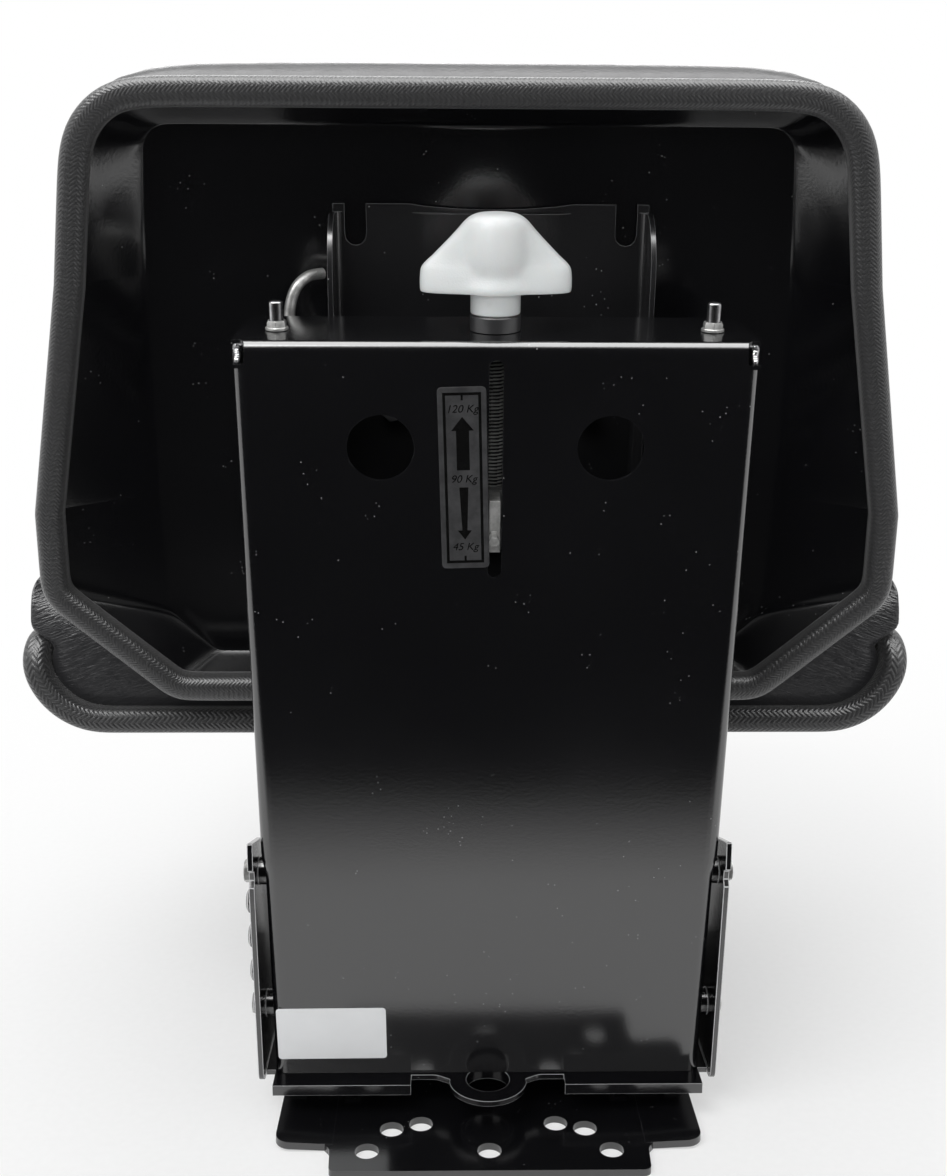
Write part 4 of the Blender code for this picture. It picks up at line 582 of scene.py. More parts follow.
def suspension_box():
    """The folded rear cover with its joggled foot, top flange, reliefs, ports and slot."""
    rings = [box_section(BOX_LOW_HALF_W, -0.02)]
    for k in range(9):
        share = k / 8
        half = BOX_LOW_HALF_W + (BOX_HALF_W - BOX_LOW_HALF_W) * share * share * (3 - 2 * share)
        rings.append(box_section(half, JOGGLE_S[0] + (JOGGLE_S[1] - JOGGLE_S[0]) * share))
    rings.append(box_section(BOX_HALF_W, BOX_H - TOP_BEND_R))
    box = loft(rings, UPRIGHT)

    bend, sheet = TOP_BEND_R, BOX_T
    profile = [(0.0, BOX_H - 0.012)]
    profile += arc((bend, BOX_H - bend), bend, 180.0, 90.0, 16)
    profile += [(BOX_D, BOX_H), (BOX_D, BOX_H - sheet)]
    profile += arc((bend, BOX_H - bend), bend - sheet, 90.0, 180.0, 16)
    profile += [(sheet, BOX_H - 0.012)]
    reach = BOX_HALF_W - 0.0004
    top = extrusion([profile], -reach, reach, "ds", UPRIGHT)

    corners = []
    for side in (1, -1):
        corner = arc((reach - 0.012, BOX_D - 0.012), 0.012, 0.0, 90.0, 14)
        corner += [(reach - 0.012, BOX_D + 0.01), (reach + 0.01, BOX_D + 0.01), (reach + 0.01, BOX_D - 0.012)]
        corners.append([(side * a, b) for a, b in corner])
    slot = arc((0.0, SLOT_S[1] - SLOT_W / 2), SLOT_W / 2, 0.0, 180.0, 16)
    slot += arc((0.0, SLOT_S[0] + SLOT_W / 2), SLOT_W / 2, 180.0, 360.0, 16)
    reliefs = [circle(side * (BOX_HALF_W - 0.002), 0.001, RELIEF_R, 40) for side in (1, -1)]
    top_holes = [circle(0.0, SPINDLE_D, 0.0053, 40)]
    top_holes += [circle(side * ROD_X, ROD_D, STUD_R + 0.0003, 32) for side in (1, -1)]
    ports = [circle(side * PORT_X, PORT_S, PORT_R, 96) for side in (1, -1)]
    bolts = [circle(PLATE_BOLT_D, s, 0.0043, 32) for s in PLATE_BOLT_S]
    cutters = [
        extrusion([rectangle(-0.2, 0.2, -0.1, 0.3)], -0.1, BOX_FOOT.z, "xy"),
        extrusion(ports + [slot], -0.02, 0.010, "xs", UPRIGHT),
        extrusion(corners, BOX_H - TOP_BEND_R - 0.0015, BOX_H + 0.01, "xd", UPRIGHT),
        extrusion(reliefs, BOX_H - 0.010, BOX_H + 0.01, "xd", UPRIGHT),
        extrusion(top_holes, BOX_H - 0.006, BOX_H + 0.01, "xd", UPRIGHT),
        extrusion(bolts, -0.2, 0.2, "ds", UPRIGHT),
    ]
    bm = broken_edges(carved(box, cutters, [top]), 0.00035)
    piece("suspension_cover", bm, "gloss_black_paint", "slide_frame", ("suspension_box",))


# Weight adjuster


def eased_levels(levels, steps):
    """Levels of (height, values...) with smooth steps put between them."""
    table = np.array(levels)
    made = []
    for k in range(len(table) - 1):
        before = table[max(k - 1, 0)]
        after = table[min(k + 2, len(table) - 1)]
        first, second = table[k], table[k + 1]
        for step in range(steps):
            t = step / steps
            curve = 2 * first + (second - before) * t
            curve = curve + (2 * before - 5 * first + 4 * second - after) * t * t
            made.append(0.5 * (curve + (3 * first - before - 3 * second + after) * t**3))
    made.append(table[-1])
    return made


def knob():
    """The knob: a domed hub between two wings with soft edges, on a round stem."""
    low, foot = STEM_S
    stem = [(low, STEM_R - 0.0006), (low + 0.0005, STEM_R - 0.0001)]
    stem += [(low + 0.0010, STEM_R), (foot - 0.0004, STEM_R), (foot - 0.0001, STEM_R + 0.0003)]
    levels = [
        (0.0002, 0.0146, 0.0340, 0.0098),
        (0.0006, 0.0154, 0.0349, 0.0106),
        (0.0030, 0.0156, 0.0352, 0.0108),
        (0.0075, 0.0134, 0.0351, 0.0100),
        (0.0110, 0.0142, 0.0345, 0.0088),
        (0.0135, 0.0150, 0.0326, 0.0078),
        (0.0165, 0.0154, 0.0293, 0.0072),
        (0.0205, 0.0154, 0.0252, 0.0070),
        (0.0250, 0.0148, 0.0206, 0.0070),
        (0.0290, 0.0137, 0.0166, 0.0072),
        (0.0320, 0.0120, 0.0138, 0.0074),
        (0.0342, 0.0098, 0.0108, 0.0064),
        (0.0355, 0.0064, 0.0070, 0.0044),
        (0.0359, 0.0010, 0.0010, 0.0010),
    ]
    rings = []
    count = 160
    for height, radius in stem:
        rings.append([(*point, height) for point in circle(0.0, -SPINDLE_D, radius, count)])
    for height, hub, reach, thick in eased_levels(levels, 5):
        ring = []
        for k in range(count):
            angle = 2 * math.pi * k / count
            across = abs(math.cos(angle) / reach) ** 2.8 + abs(math.sin(angle) / thick) ** 2.8
            radius = (hub**7 + across ** (-7 / 2.8)) ** (1 / 7)
            ring.append((radius * math.cos(angle), radius * math.sin(angle) - SPINDLE_D, foot + height))
        rings.append(ring)
    piece("knob_moulding", loft(rings, UPRIGHT), "knob_plastic", "spindle", ("knob",), crease_deg=60.0)

    wide, top = STEM_R + 0.0002, low - 0.0003
    collar = [(wide, BOX_H + 0.0003), (wide, top - 0.0006), (wide - 0.0006, top)]
    bm = turned(collar, (0.0, -SPINDLE_D), 72, 0.0056)
    piece("spindle_collar", bm, "black_frame_paint", "slide_frame", ("spindle_washer",))


def spindle():
    """The threaded spindle: its radius follows the thread as it goes round and up."""
    low, high = BOX_H - 0.108, BOX_H - BOX_T - 0.0043
    around, per_pitch = 40, 8
    count = int((high - low) / THREAD_PITCH * per_pitch)
    rings = []
    for k in range(count + 1):
        height = low + (high - low) * k / count
        ring = []
        for side in range(around):
            turn = side / around
            phase = (height / THREAD_PITCH - turn) % 1.0
            groove = max(0.0, 1.0 - abs(phase - 0.5) / 0.40)
            radius = SPINDLE_R - THREAD_DEPTH * min(1.0, groove * 1.25)
            angle = 2 * math.pi * turn
            ring.append((radius * math.cos(angle), radius * math.sin(angle) - SPINDLE_D, height))
        rings.append(ring)
    collar_top = BOX_H - BOX_T - 0.0003
    shank = [(high, 0.009), (collar_top, 0.009), (collar_top, 0.005), (STEM_S[1] + 0.009, 0.005)]
    for height, radius in shank:
        rings.append([(*point, height) for point in circle(0.0, -SPINDLE_D, radius, around)])
    bm = loft(rings, UPRIGHT)
    to_local = UPRIGHT.inverted()
    for face in bm.faces:
        spot = to_local @ face.calc_center_median()
        if math.hypot(spot.x, spot.y + SPINDLE_D) < SPINDLE_R - THREAD_DEPTH * 0.5:
            face.material_index = 1
    obj = piece("spindle_thread", bm, "zinc_plate", "spindle", ("spindle",), crease_deg=50.0)
    obj.data.materials.append(metal("oiled_groove", (0.030, 0.030, 0.032), 0.45, 0.4))


# Plates at the foot


def base_plate():
    half = [
        (0.0, BASE_REAR_Y, 0.0),
        (TONGUE_HALF_W, BASE_REAR_Y, 0.004),
        (TONGUE_HALF_W + 0.001, EAR_REAR_Y + 0.004, 0.006),
        (EAR_FOLD_X, EAR_REAR_Y, 0.0),
        (EAR_FOLD_X, 0.088, 0.0),
        (BASE_HALF_W, 0.086, 0.0),
        (BASE_HALF_W, BASE_FRONT_Y, 0.012),
        (0.0, BASE_FRONT_Y, 0.0),
    ]
    plate = extrusion([rounded(mirrored(half))], 0.0, BASE_T, "xy")
    ears = []
    for side in (1, -1):
        inner, outer = EAR_FOLD_X - 0.004, BASE_HALF_W
        corners = [
            (inner, 0.086, 0.0),
            (outer, 0.086, 0.0),
            (outer + 0.0005, EAR_REAR_Y, 0.008),
            (inner, EAR_REAR_Y, 0.0),
        ]
        outline = [(side * (a - EAR_FOLD_X), b) for a, b in rounded(corners)]
        fold = Matrix.Translation((side * EAR_FOLD_X, 0.0, 0.0003))
        fold = fold @ Matrix.Rotation(-side * math.radians(EAR_FOLD_DEG), 4, "Y")
        ears.append(extrusion([outline], 0.0, BASE_T, "xy", fold))
    holes = []
    for x, y in HOLE_ROWS:
        for side in (1, -1) if x else (1,):
            holes.append(circle(side * x, y, BOLT_HOLE_R, 64))
            holes.append(circle(side * x, BASE_REAR_Y + BASE_FRONT_Y - y, BOLT_HOLE_R, 64))
    bm = carved(plate, [extrusion(holes, -0.01, 0.02, "xy")], ears)
    piece("base_sheet", broken_edges(bm, 0.0005, 45.0), "gloss_black_paint", "base", ("base_plate",))


def foot_plate():
    inner, outer = STRIP_X
    corners = [
        (0.0, FOOT_FRONT_Y, 0.0),
        (FOOT_HALF_W, FOOT_FRONT_Y, 0.006),
        (FOOT_HALF_W, BOX_FOOT.y - 0.004, 0.0),
        (outer, BOX_FOOT.y - 0.004, 0.0),
        (outer, BOX_FOOT.y + STRIP_REACH, 0.0),
        (inner, BOX_FOOT.y + STRIP_REACH, 0.0),
        (inner, BOX_FOOT.y + 0.002, 0.0),
        (TONGUE_R + 0.007, BOX_FOOT.y + 0.002, 0.008),
        (TONGUE_R, BOX_FOOT.y + 0.006, 0.005),
    ]
    half = rounded(corners + [(0.0, BOX_FOOT.y + TONGUE_REACH, 0.0)])[:-1]
    hole_y = BOX_FOOT.y + TONGUE_REACH - TONGUE_R
    tip = arc((0.0, hole_y), TONGUE_R, 8.0, 90.0, 24)
    plate = extrusion([mirrored(half + tip)], FOOT_Z, FOOT_Z + FOOT_T, "xy")
    rim = circle(0.0, hole_y, TONGUE_HOLE_R + 0.0025, 64)
    collar = extrusion([rim], FOOT_Z - 0.004, FOOT_Z + 0.001, "xy")
    lips = []
    for side in (1, -1):
        edges = sorted((side * inner, side * outer))
        lips.append(rectangle(*edges, BOX_FOOT.y + STRIP_REACH - 0.002, BOX_FOOT.y + STRIP_REACH))
    lip = extrusion(lips, FOOT_Z - 0.003, FOOT_Z + 0.001, "xy")
    hole = extrusion([circle(0.0, hole_y, TONGUE_HOLE_R, 64)], 0.0, 0.04, "xy")
    bm = broken_edges(carved(plate, [hole], [collar, lip]), 0.0004)
    piece("foot_sheet", bm, "gloss_black_paint", "slide_frame", ("foot_plate",))


# Backrest


def rim_outline():
    top, low = 0.5125, 0.1975
    return [
        (0.0, top, 0.0),
        (0.1885, top, 0.036),
        (0.2010, 0.420, 0.0),
        (0.2235, 0.300, 0.0),
        (0.2250, 0.254, 0.018),
        (0.1620, low, 0.020),
        (0.0, low, 0.0),
    ]


def floor_outline():
    return [
        (0.0, 0.4950, 0.0),
        (0.1640, 0.4950, 0.012),
        (0.1680, 0.420, 0.0),
        (0.1680, 0.300, 0.0),
        (0.1660, 0.2260, 0.012),
        (0.1440, 0.2040, 0.010),
        (0.0, 0.2040, 0.0),
    ]


def smoothed(points, passes):
    """A closed line of points relaxed, which rounds its slight kinks."""
    line = np.array(points)
    for _ in range(passes):
        line = 0.5 * line + 0.25 * (np.roll(line, 1, 0) + np.roll(line, -1, 0))
    return line


def run_along(line):
    """The length of a line of points up to each of them."""
    return np.concatenate([[0.0], np.cumsum(np.linalg.norm(np.diff(line, axis=0), axis=1))])


def spaced(points, count):
    """A closed line of points set again at equal spacing."""
    line = np.vstack([points, points[:1]])
    run = run_along(line)
    even = np.linspace(0.0, run[-1], count, endpoint=False)
    return np.stack([np.interp(even, run, line[:, k]) for k in range(line.shape[1])], 1), run[-1]


def backrest_pan():
    """The pressed tray: a rim lip, a sloping wall with soft bends, and its flat floor."""
    rim = smoothed(rounded(mirrored(rim_outline()), 12, 10), 6)
    floor = smoothed(rounded(mirrored(floor_outline()), 12, 10), 2)
    middle = np.array([0.0, 0.350])
    flat = middle + (floor - middle) * np.array([0.955, 0.950])
    course = [(0.0, RIM_D), (0.0, 0.0915), (0.09, 0.0945), (0.50, 0.1080), (0.90, 0.1203)]
    course = np.array(course + [(1.0, FLOOR_D), (2.0, FLOOR_D)])
    for _ in range(3):
        near = course[:-1] * 0.75 + course[1:] * 0.25
        far = course[:-1] * 0.25 + course[1:] * 0.75
        between = np.stack([near, far], 1).reshape(-1, 2)
        course = np.vstack([course[:1], between, course[-1:]])
    faces = []
    for share, d in course:
        if share <= 1.0:
            ring = rim + (floor - rim) * share
        else:
            ring = floor + (flat - floor) * (share - 1.0)
        faces.append((ring, d))
    outside = [[(SEAT_OFFSET_X + x, -d + SHEET_T / 2, s) for x, s in ring] for ring, d in faces]
    inside = [[(SEAT_OFFSET_X + x * 1.002, -d - SHEET_T / 2, s) for x, s in ring] for ring, d in faces]
    bm = bmesh.new()
    rows = [[bm.verts.new(UPRIGHT @ Vector(p)) for p in ring] for ring in outside]
    backs = [[bm.verts.new(UPRIGHT @ Vector(p)) for p in ring] for ring in inside]
    for table in (rows, backs):
        for below, above in zip(table, table[1:]):
            for k in range(len(below)):
                after = (k + 1) % len(below)
                bm.faces.new((below[k], below[after], above[after], above[k]))
        bm.faces.new(table[-1])
    for k in range(len(rows[0])):
        after = (k + 1) % len(rows[0])
        bm.faces.new((rows[0][k], rows[0][after], backs[0][after], backs[0][k]))
    bm = settled(bm)
    return piece("backrest_tray", bm, "gloss_black_paint", "carriage", ("backrest_pan",), crease_deg=60.0)


def trim_section(clearance, steps=8):
    """The edge trim's U: a is across the sheet, b is outwards past its edge."""
    slot = SHEET_T / 2 + clearance
    wide = TRIM_HALF_W
    outer = []
    for k in range(2 * steps + 1):
        angle = math.pi * k / (2 * steps)
        power = 0.75
        a = wide * math.copysign(abs(math.cos(angle)) ** power, math.cos(angle))
        outer.append((a, TRIM_OVER * math.sin(angle) ** 0.9))
    left = [(wide * 0.98, -TRIM_UNDER * 0.4), (wide * 0.90, -TRIM_UNDER * 0.84)]
    left += [(wide * 0.95, -TRIM_UNDER * 0.90), (wide * 0.94, -TRIM_UNDER * 0.97), (wide * 0.86, -TRIM_UNDER)]
    right = [(-a, b) for a, b in left]
    inner = [(-slot, -TRIM_UNDER), (-slot, 0.0003), (slot, 0.0003), (slot, -TRIM_UNDER)]
    return list(reversed(left)) + outer + right + inner


def trim_sweep(spots, normals, outwards, section, name, node, finish):
    """The section set square to each spot of a closed run, with its UV in metres."""
    count = len(spots)
    run = run_along(np.vstack([spots, spots[:1]]))
    wrap = [0.0]
    for before, after in zip(section, section[1:] + section[:1]):
        wrap.append(wrap[-1] + math.dist(before, after))
    crest = wrap[max(range(len(section)), key=lambda k: section[k][1])]
    wrap = [spot - crest for spot in wrap]
    bm = bmesh.new()
    uv = bm.loops.layers.uv.new("UVMap")
    rows = []
    for k in range(count):
        rows.append([bm.verts.new(spots[k] + normals[k] * a + outwards[k] * b) for a, b in section])
    for k in range(count):
        ahead = (k + 1) % count
        for side in range(len(section)):
            after = (side + 1) % len(section)
            face = bm.faces.new((rows[k][side], rows[k][after], rows[ahead][after], rows[ahead][side]))
            steps = ((k, side), (k, side + 1), (k + 1, side + 1), (k + 1, side))
            for loop, (u, v) in zip(face.loops, steps):
                loop[uv].uv = (run[u], wrap[v])
    piece(name, settled(bm), "black_vinyl", "carriage", (node,), finish, crease_deg=70.0)


def backrest_trim():
    outline, _ = spaced(smoothed(rounded(mirrored(rim_outline()), 12, 10), 6), 900)
    ahead = np.roll(outline, -1, 0) - np.roll(outline, 1, 0)
    ahead /= np.linalg.norm(ahead, axis=1, keepdims=True)
    out = np.stack([ahead[:, 1], -ahead[:, 0]], 1)
    turn = np.array(UPRIGHT.to_3x3())
    spots = np.array([UPRIGHT @ Vector((SEAT_OFFSET_X + x, -RIM_D, s)) for x, s in outline])
    rear = np.tile(turn @ np.array([0.0, 1.0, 0.0]), (len(spots), 1))
    across = np.stack([out[:, 0], np.zeros(len(out)), out[:, 1]], 1) @ turn.T
    section = trim_section(0.0003)
    trim_sweep(spots, across, rear, section, "backrest_edge", "backrest_trim", BACKREST_TRIM)


# Seat pan and trim


def seat_half(y):
    share = (SEAT_REAR_Y - y) / (SEAT_REAR_Y - SEAT_FRONT_Y)
    return SEAT_HALF_W[0] + (SEAT_HALF_W[1] - SEAT_HALF_W[0]) * share


def seat_spot(across, along):
    """A point of the seat pan's middle surface; across runs -1 to 1, along runs rear to front."""
    flat = SEAT_HALF_W[0] - SEAT_WALL_R
    bend = SEAT_WALL_R * math.pi / 2
    wall = SEAT_WALL_H - SEAT_WALL_R
    fade = max(0.0, (along - WALL_FADE) / (1 - WALL_FADE))
    kept = 1 - (1 - FRONT_WALL_SHARE) * (0.5 - 0.5 * math.cos(math.pi * fade))
    run = abs(across) * (flat + (bend + wall) * kept)
    inset = SEAT_WALL_R
    rise = 0.0
    if run > flat + bend:
        inset = 0.0
        rise = SEAT_WALL_R + run - flat - bend
    elif run > flat:
        angle = (run - flat) / SEAT_WALL_R
        inset = SEAT_WALL_R * (1 - math.sin(angle))
        rise = SEAT_WALL_R * (1 - math.cos(angle))
    lift = max(0.0, rise - (SEAT_WALL_H - SEAT_CORNER_R))
    rear = SEAT_REAR_Y - SEAT_CORNER_R + math.sqrt(SEAT_CORNER_R**2 - min(lift, SEAT_CORNER_R) ** 2)
    front = SEAT_FRONT_Y + FRONT_CORNER * abs(across) ** 8
    y = rear + (front - rear) * along
    x = (seat_half(y) - inset) * min(1.0, run / flat)
    droop = FRONT_DROOP * max(0.0, (along - 0.75) / 0.25) ** 2
    return Vector((math.copysign(x, across) + SEAT_OFFSET_X, y, SEAT_FLOOR_Z + rise - droop))


def seat_trim():
    """The edge trim around the seat pan, square to the sheet all the way."""
    fine = [math.sin(math.pi / 2 * k / 60) for k in range(-60, 61)]
    path = [(a, 0.0) for a in fine]
    path += [(1.0, k / 80) for k in range(1, 81)]
    path += [(a, 1.0) for a in reversed(fine)][1:]
    path += [(-1.0, 1 - k / 80) for k in range(1, 80)]
    spots = np.array([seat_spot(a, b) for a, b in path])
    normals = []
    step = 0.004
    for a, b in path:
        near = max(-0.985, min(0.985, a))
        across = seat_spot(near + step, b) - seat_spot(near - step, b)
        along = seat_spot(near, min(1.0, b + step)) - seat_spot(near, max(0.0, b - step))
        normal = across.cross(along).normalized()
        normals.append(-normal if normal.z < 0 else normal)
    table = np.hstack([spots, np.array(normals)])
    line = np.vstack([table, table[:1]])
    run = run_along(line[:, :3])
    even = np.linspace(0.0, run[-1], 1000, endpoint=False)
    table = np.stack([np.interp(even, run, line[:, k]) for k in range(6)], 1)
    for _ in range(8):
        table = 0.5 * table + 0.25 * (np.roll(table, 1, 0) + np.roll(table, -1, 0))
    spots, normals = table[:, :3], table[:, 3:]
    tangents = np.roll(spots, -1, 0) - np.roll(spots, 1, 0)
    tangents /= np.linalg.norm(tangents, axis=1, keepdims=True)
    outwards = np.cross(tangents, normals)
    outwards /= np.linalg.norm(outwards, axis=1, keepdims=True)
    middle = np.array([SEAT_OFFSET_X, -0.15, SEAT_FLOOR_Z])
    flip = np.sign(np.sum(outwards * (spots - middle), axis=1, keepdims=True))
    outwards *= flip
    normals = np.cross(outwards, tangents)
    section = trim_section(0.0009)
    trim_sweep(spots, normals, outwards, section, "seat_edge", "seat_trim", SEAT_TRIM)


# Cushions


def relaxed(points, edges, passes):
    """Mesh points smoothed without shrinking: each pass in is followed by a longer one out."""
    count = np.bincount(edges.ravel(), minlength=len(points))[:, None]
    for _ in range(passes):
        for factor in (0.5, -0.52):
            around = np.zeros_like(points)
            np.add.at(around, edges[:, 0], points[edges[:, 1]])
            np.add.at(around, edges[:, 1], points[edges[:, 0]])
            points = points + factor * (around / count - points)
    return points


def cloth_pad(node, voxel, cap, held, shaped=None, pressure=4.0):
    """A CAD cushion's mesh blown up as cloth: its free skin swells by up to cap, its held skin stays."""
    obj = object_of(f"{node}_cloth", node_mesh(node))
    remesh = obj.modifiers.new("skin", "REMESH")
    remesh.mode = "VOXEL"
    remesh.voxel_size = voxel
    skin = finished_mesh(obj)
    obj.modifiers.clear()
    obj.data = skin
    edges = np.array([edge.vertices[:] for edge in skin.edges])
    rest = relaxed(np.array([v.co for v in skin.vertices]), edges, 12)
    skin.vertices.foreach_set("co", rest.ravel())
    group = obj.vertex_groups.new(name="held")
    group.add([k for k, point in enumerate(rest) if held(point)], 1.0, "REPLACE")
    cloth = obj.modifiers.new("cloth", "CLOTH")
    cloth.settings.quality = 4
    cloth.settings.mass = 0.3
    cloth.settings.use_pressure = True
    cloth.settings.uniform_pressure_force = pressure
    cloth.settings.vertex_group_mass = "held"
    cloth.settings.effector_weights.gravity = 0.0
    cloth.collision_settings.use_collision = False
    cloth.point_cache.frame_start = 1
    cloth.point_cache.frame_end = 20
    for step in range(1, 21):
        bpy.context.scene.frame_set(step)
    blown = obj.evaluated_get(bpy.context.evaluated_depsgraph_get()).to_mesh()
    moved = np.array([v.co for v in blown.vertices]) - rest
    obj.modifiers.clear()
    bpy.context.scene.frame_set(1)
    reach = np.linalg.norm(moved, axis=1, keepdims=True)
    moved *= np.tanh(reach / cap) * cap / np.maximum(reach, 1e-9)
    rest = rest + moved
    if shaped is not None:
        rest = shaped(rest)
    skin.vertices.foreach_set("co", rest.ravel())
    skin.update()
    finer = obj.modifiers.new("finer", "SUBSURF")
    finer.levels = finer.render_levels = 1
    final = finished_mesh(obj)
    bpy.data.objects.remove(obj, do_unlink=True)
    made = bmesh.new()
    made.from_mesh(final)
    return made


def eased(values, low, high):
    """0 below low, 1 above high and a smooth rise between."""
    share = np.clip((values - low) / (high - low), 0.0, 1.0)
    return share * share * (3 - 2 * share)


def clear_of_sheet(points, sheet, forward):
    """Skin points at or behind a pressed sheet moved forward until they clear it."""
    mesh = sheet.data
    tree = BVHTree.FromPolygons([v.co for v in mesh.vertices], [p.vertices for p in mesh.polygons])
    forward = Vector(forward)
    moved = points.copy()
    for k, point in enumerate(points):
        start = Vector(point) + forward * SHEET_LOOK
        distance = tree.ray_cast(start, -forward, 1.5 * SHEET_LOOK)[3]
        if distance is not None and distance < SHEET_LOOK + PAD_CLEAR:
            moved[k] += np.array(forward) * (SHEET_LOOK + PAD_CLEAR - distance)
    return moved


def seat_cushion():
    """The seat pad, held where it lies in the pan and at its rear edge under the backrest."""

    def held(point):
        back = (SEAT_REAR_Y - point[1]) / (SEAT_REAR_Y - SEAT_FRONT_Y)
        over_trim = SEAT_FLOOR_Z + SEAT_WALL_H + TRIM_OVER + 0.006 - 0.034 * max(0.0, (back - 0.7) / 0.3)
        return point[2] < over_trim or point[1] > SEAT_REAR_Y - 0.030

    def shouldered(points):
        """The rear corners pulled up and out over the trim."""
        x, y, z = points.T
        aside = np.abs(x - SEAT_OFFSET_X)
        near = eased(y, -0.17, -0.05)
        over = SEAT_FLOOR_Z + SEAT_WALL_H + TRIM_OVER
        wall = CORNER_HALF_W - 0.008 * eased(z, over + 0.014, over + 0.034)
        out = (wall - aside) * near * eased(z, over - 0.006, over + 0.001) * eased(aside, 0.203, 0.234)
        up = CORNER_UP * near * eased(z, over, over + 0.020) * eased(aside, 0.214, 0.238)
        points = np.stack([x + np.sign(x - SEAT_OFFSET_X) * out, y, z + up], 1)
        return clear_of_sheet(points, frame["nodes"]["seat_pan"], (0.0, 0.0, 1.0))

    bm = cloth_pad("seat_cushion", 0.0050, 0.005, held, shouldered)
    obj = piece("seat_pad", bm, "black_vinyl", "carriage", ("seat_cushion",), SEAT_VINYL, crease_deg=180.0)


def backrest_cushion(tray):
    """The backrest pad, held at the tray and swelling forward, with a low crown at its top."""
    upright = np.array(UPRIGHT.to_3x3())
    foot = np.array(BOX_FOOT)

    def held(point):
        return (foot - point) @ upright[:, 1] < RIM_D + RIM_LIP + 0.016

    def crowned(points):
        local = (points - foot) @ upright
        aside = np.abs(local[:, 0] - SEAT_OFFSET_X)
        inward = eased(-local[:, 1], RIM_D + 0.004, RIM_D + 0.026)
        rise = eased(local[:, 2], 0.4375, 0.5125) * inward * (1 - eased(aside, 0.135, 0.195))
        local[:, 2] += PAD_CROWN * rise
        return clear_of_sheet(local @ upright.T + foot, tray, -upright[:, 1])

    bm = cloth_pad("backrest_cushion", 0.0055, 0.005, held, crowned)
    obj = piece("backrest_pad", bm, "black_vinyl", "carriage", ("backrest_cushion",), crease_deg=180.0)


# Small parts


def on_rear_face(x, s, lean_deg, proud):
    """A flat frame on the box's rear face: its x to the left, its y up, its z out of the face."""
    face = UPRIGHT @ Matrix.Translation((x, proud, s)) @ Matrix.Rotation(math.radians(-90.0), 4, "X")
    face = face @ Matrix.Rotation(math.radians(180.0), 4, "Z")
    return face @ Matrix.Rotation(math.radians(lean_deg), 4, "Z")


def thin_plate(half_w, half_h, levels, matrix):
    """A thin plate with round corners, from levels of height, inset and corner radius."""
    rings = []
    for height, inset, radius in levels:
        a, b = half_w - inset, half_h - inset
        corners = [(a, b, radius), (-a, b, radius), (-a, -b, radius), (a, -b, radius)]
        rings.append([(*point, height) for point in rounded(corners, 8)])
    return loft(rings, matrix)


def print_mesh(words, size, matrix):
    """Lettering as a thin flat solid."""
    curve = bpy.data.curves.new("lettering", "FONT")
    curve.body = words
    curve.size = size
    curve.align_x = "CENTER"
    curve.align_y = "CENTER"
    curve.extrude = 0.00002
    curve.shear = 0.25
    obj = bpy.data.objects.new("lettering", curve)
    bpy.context.scene.collection.objects.link(obj)
    mesh = finished_mesh(obj)
    bpy.data.objects.remove(obj, do_unlink=True)
    bm = bmesh.new()
    bm.from_mesh(mesh)
    bmesh.ops.transform(bm, matrix=matrix, verts=bm.verts)
    return bm


def weight_label():
    """The foil scale beside the slot: a raised edge, a printed frame, two arrows and three weights."""
    face = on_rear_face(*LABEL_AT, LABEL_LEAN_DEG, 0.0001)
    levels = [(0.0, 0.0, 0.0022), (0.00035, 0.0, 0.0022), (0.00050, 0.0003, 0.0020)]
    levels += [(0.00048, 0.0011, 0.0014), (0.00036, 0.0014, 0.0012)]
    foil = thin_plate(LABEL_HALF_W, LABEL_HALF_H, levels, face)
    piece("weight_label", foil, "zinc_plate", "slide_frame", (), foil_paint())

    lift, print_t = 0.00037, 0.00004
    outer_w, outer_h, line = LABEL_HALF_W - 0.0024, LABEL_HALF_H - 0.0026, 0.0013
    bars = [
        rectangle(-outer_w, outer_w, outer_h - line, outer_h),
        rectangle(-outer_w, outer_w, -outer_h, -outer_h + line),
        rectangle(-outer_w, -outer_w + line, -outer_h + line, outer_h - line),
        rectangle(outer_w - line, outer_w, -outer_h + line, outer_h - line),
        rectangle(-0.0005, 0.0005, outer_h - 0.0036, outer_h - line),
        rectangle(-0.0005, 0.0005, -outer_h + line, -outer_h + 0.0036),
    ]
    up = [(-0.0030, 0.0046), (0.0030, 0.0046), (0.0030, 0.0235), (0.0052, 0.0235)]
    up += [(0.0, 0.0300), (-0.0052, 0.0235), (-0.0030, 0.0235)]
    down = [(-0.0021, -0.0038), (0.0021, -0.0038), (0.0012, -0.0250), (0.0033, -0.0250)]
    down += [(0.0, -0.0295), (-0.0033, -0.0250), (-0.0012, -0.0250)]
    shapes = bars + [up, down]
    prints = extrusion(shapes, lift, lift + print_t, "xy", face)
    ink = Nodes("black_print")
    mottled = ink.noise(500.0, 2.0)
    black = ink.set(
        color=ink.mix(mottled, (0.002, 0.002, 0.002), (0.005, 0.005, 0.005)),
        roughness=ink.ramp(mottled, 0.3, 0.7, 0.18, 0.26),
    )
    piece("label_print", prints, "rubber", "slide_frame", (), black)
    for words, height in (("120 Kg", 0.0336), ("90 Kg", 0.0002), ("45 Kg", -0.0333)):
        spot = face @ Matrix.Translation((0.0, height, lift + print_t))
        name = f"label_weight_{words.split()[0]}"
        piece(name, print_mesh(words, 0.0052, spot), "rubber", "slide_frame", (), black)


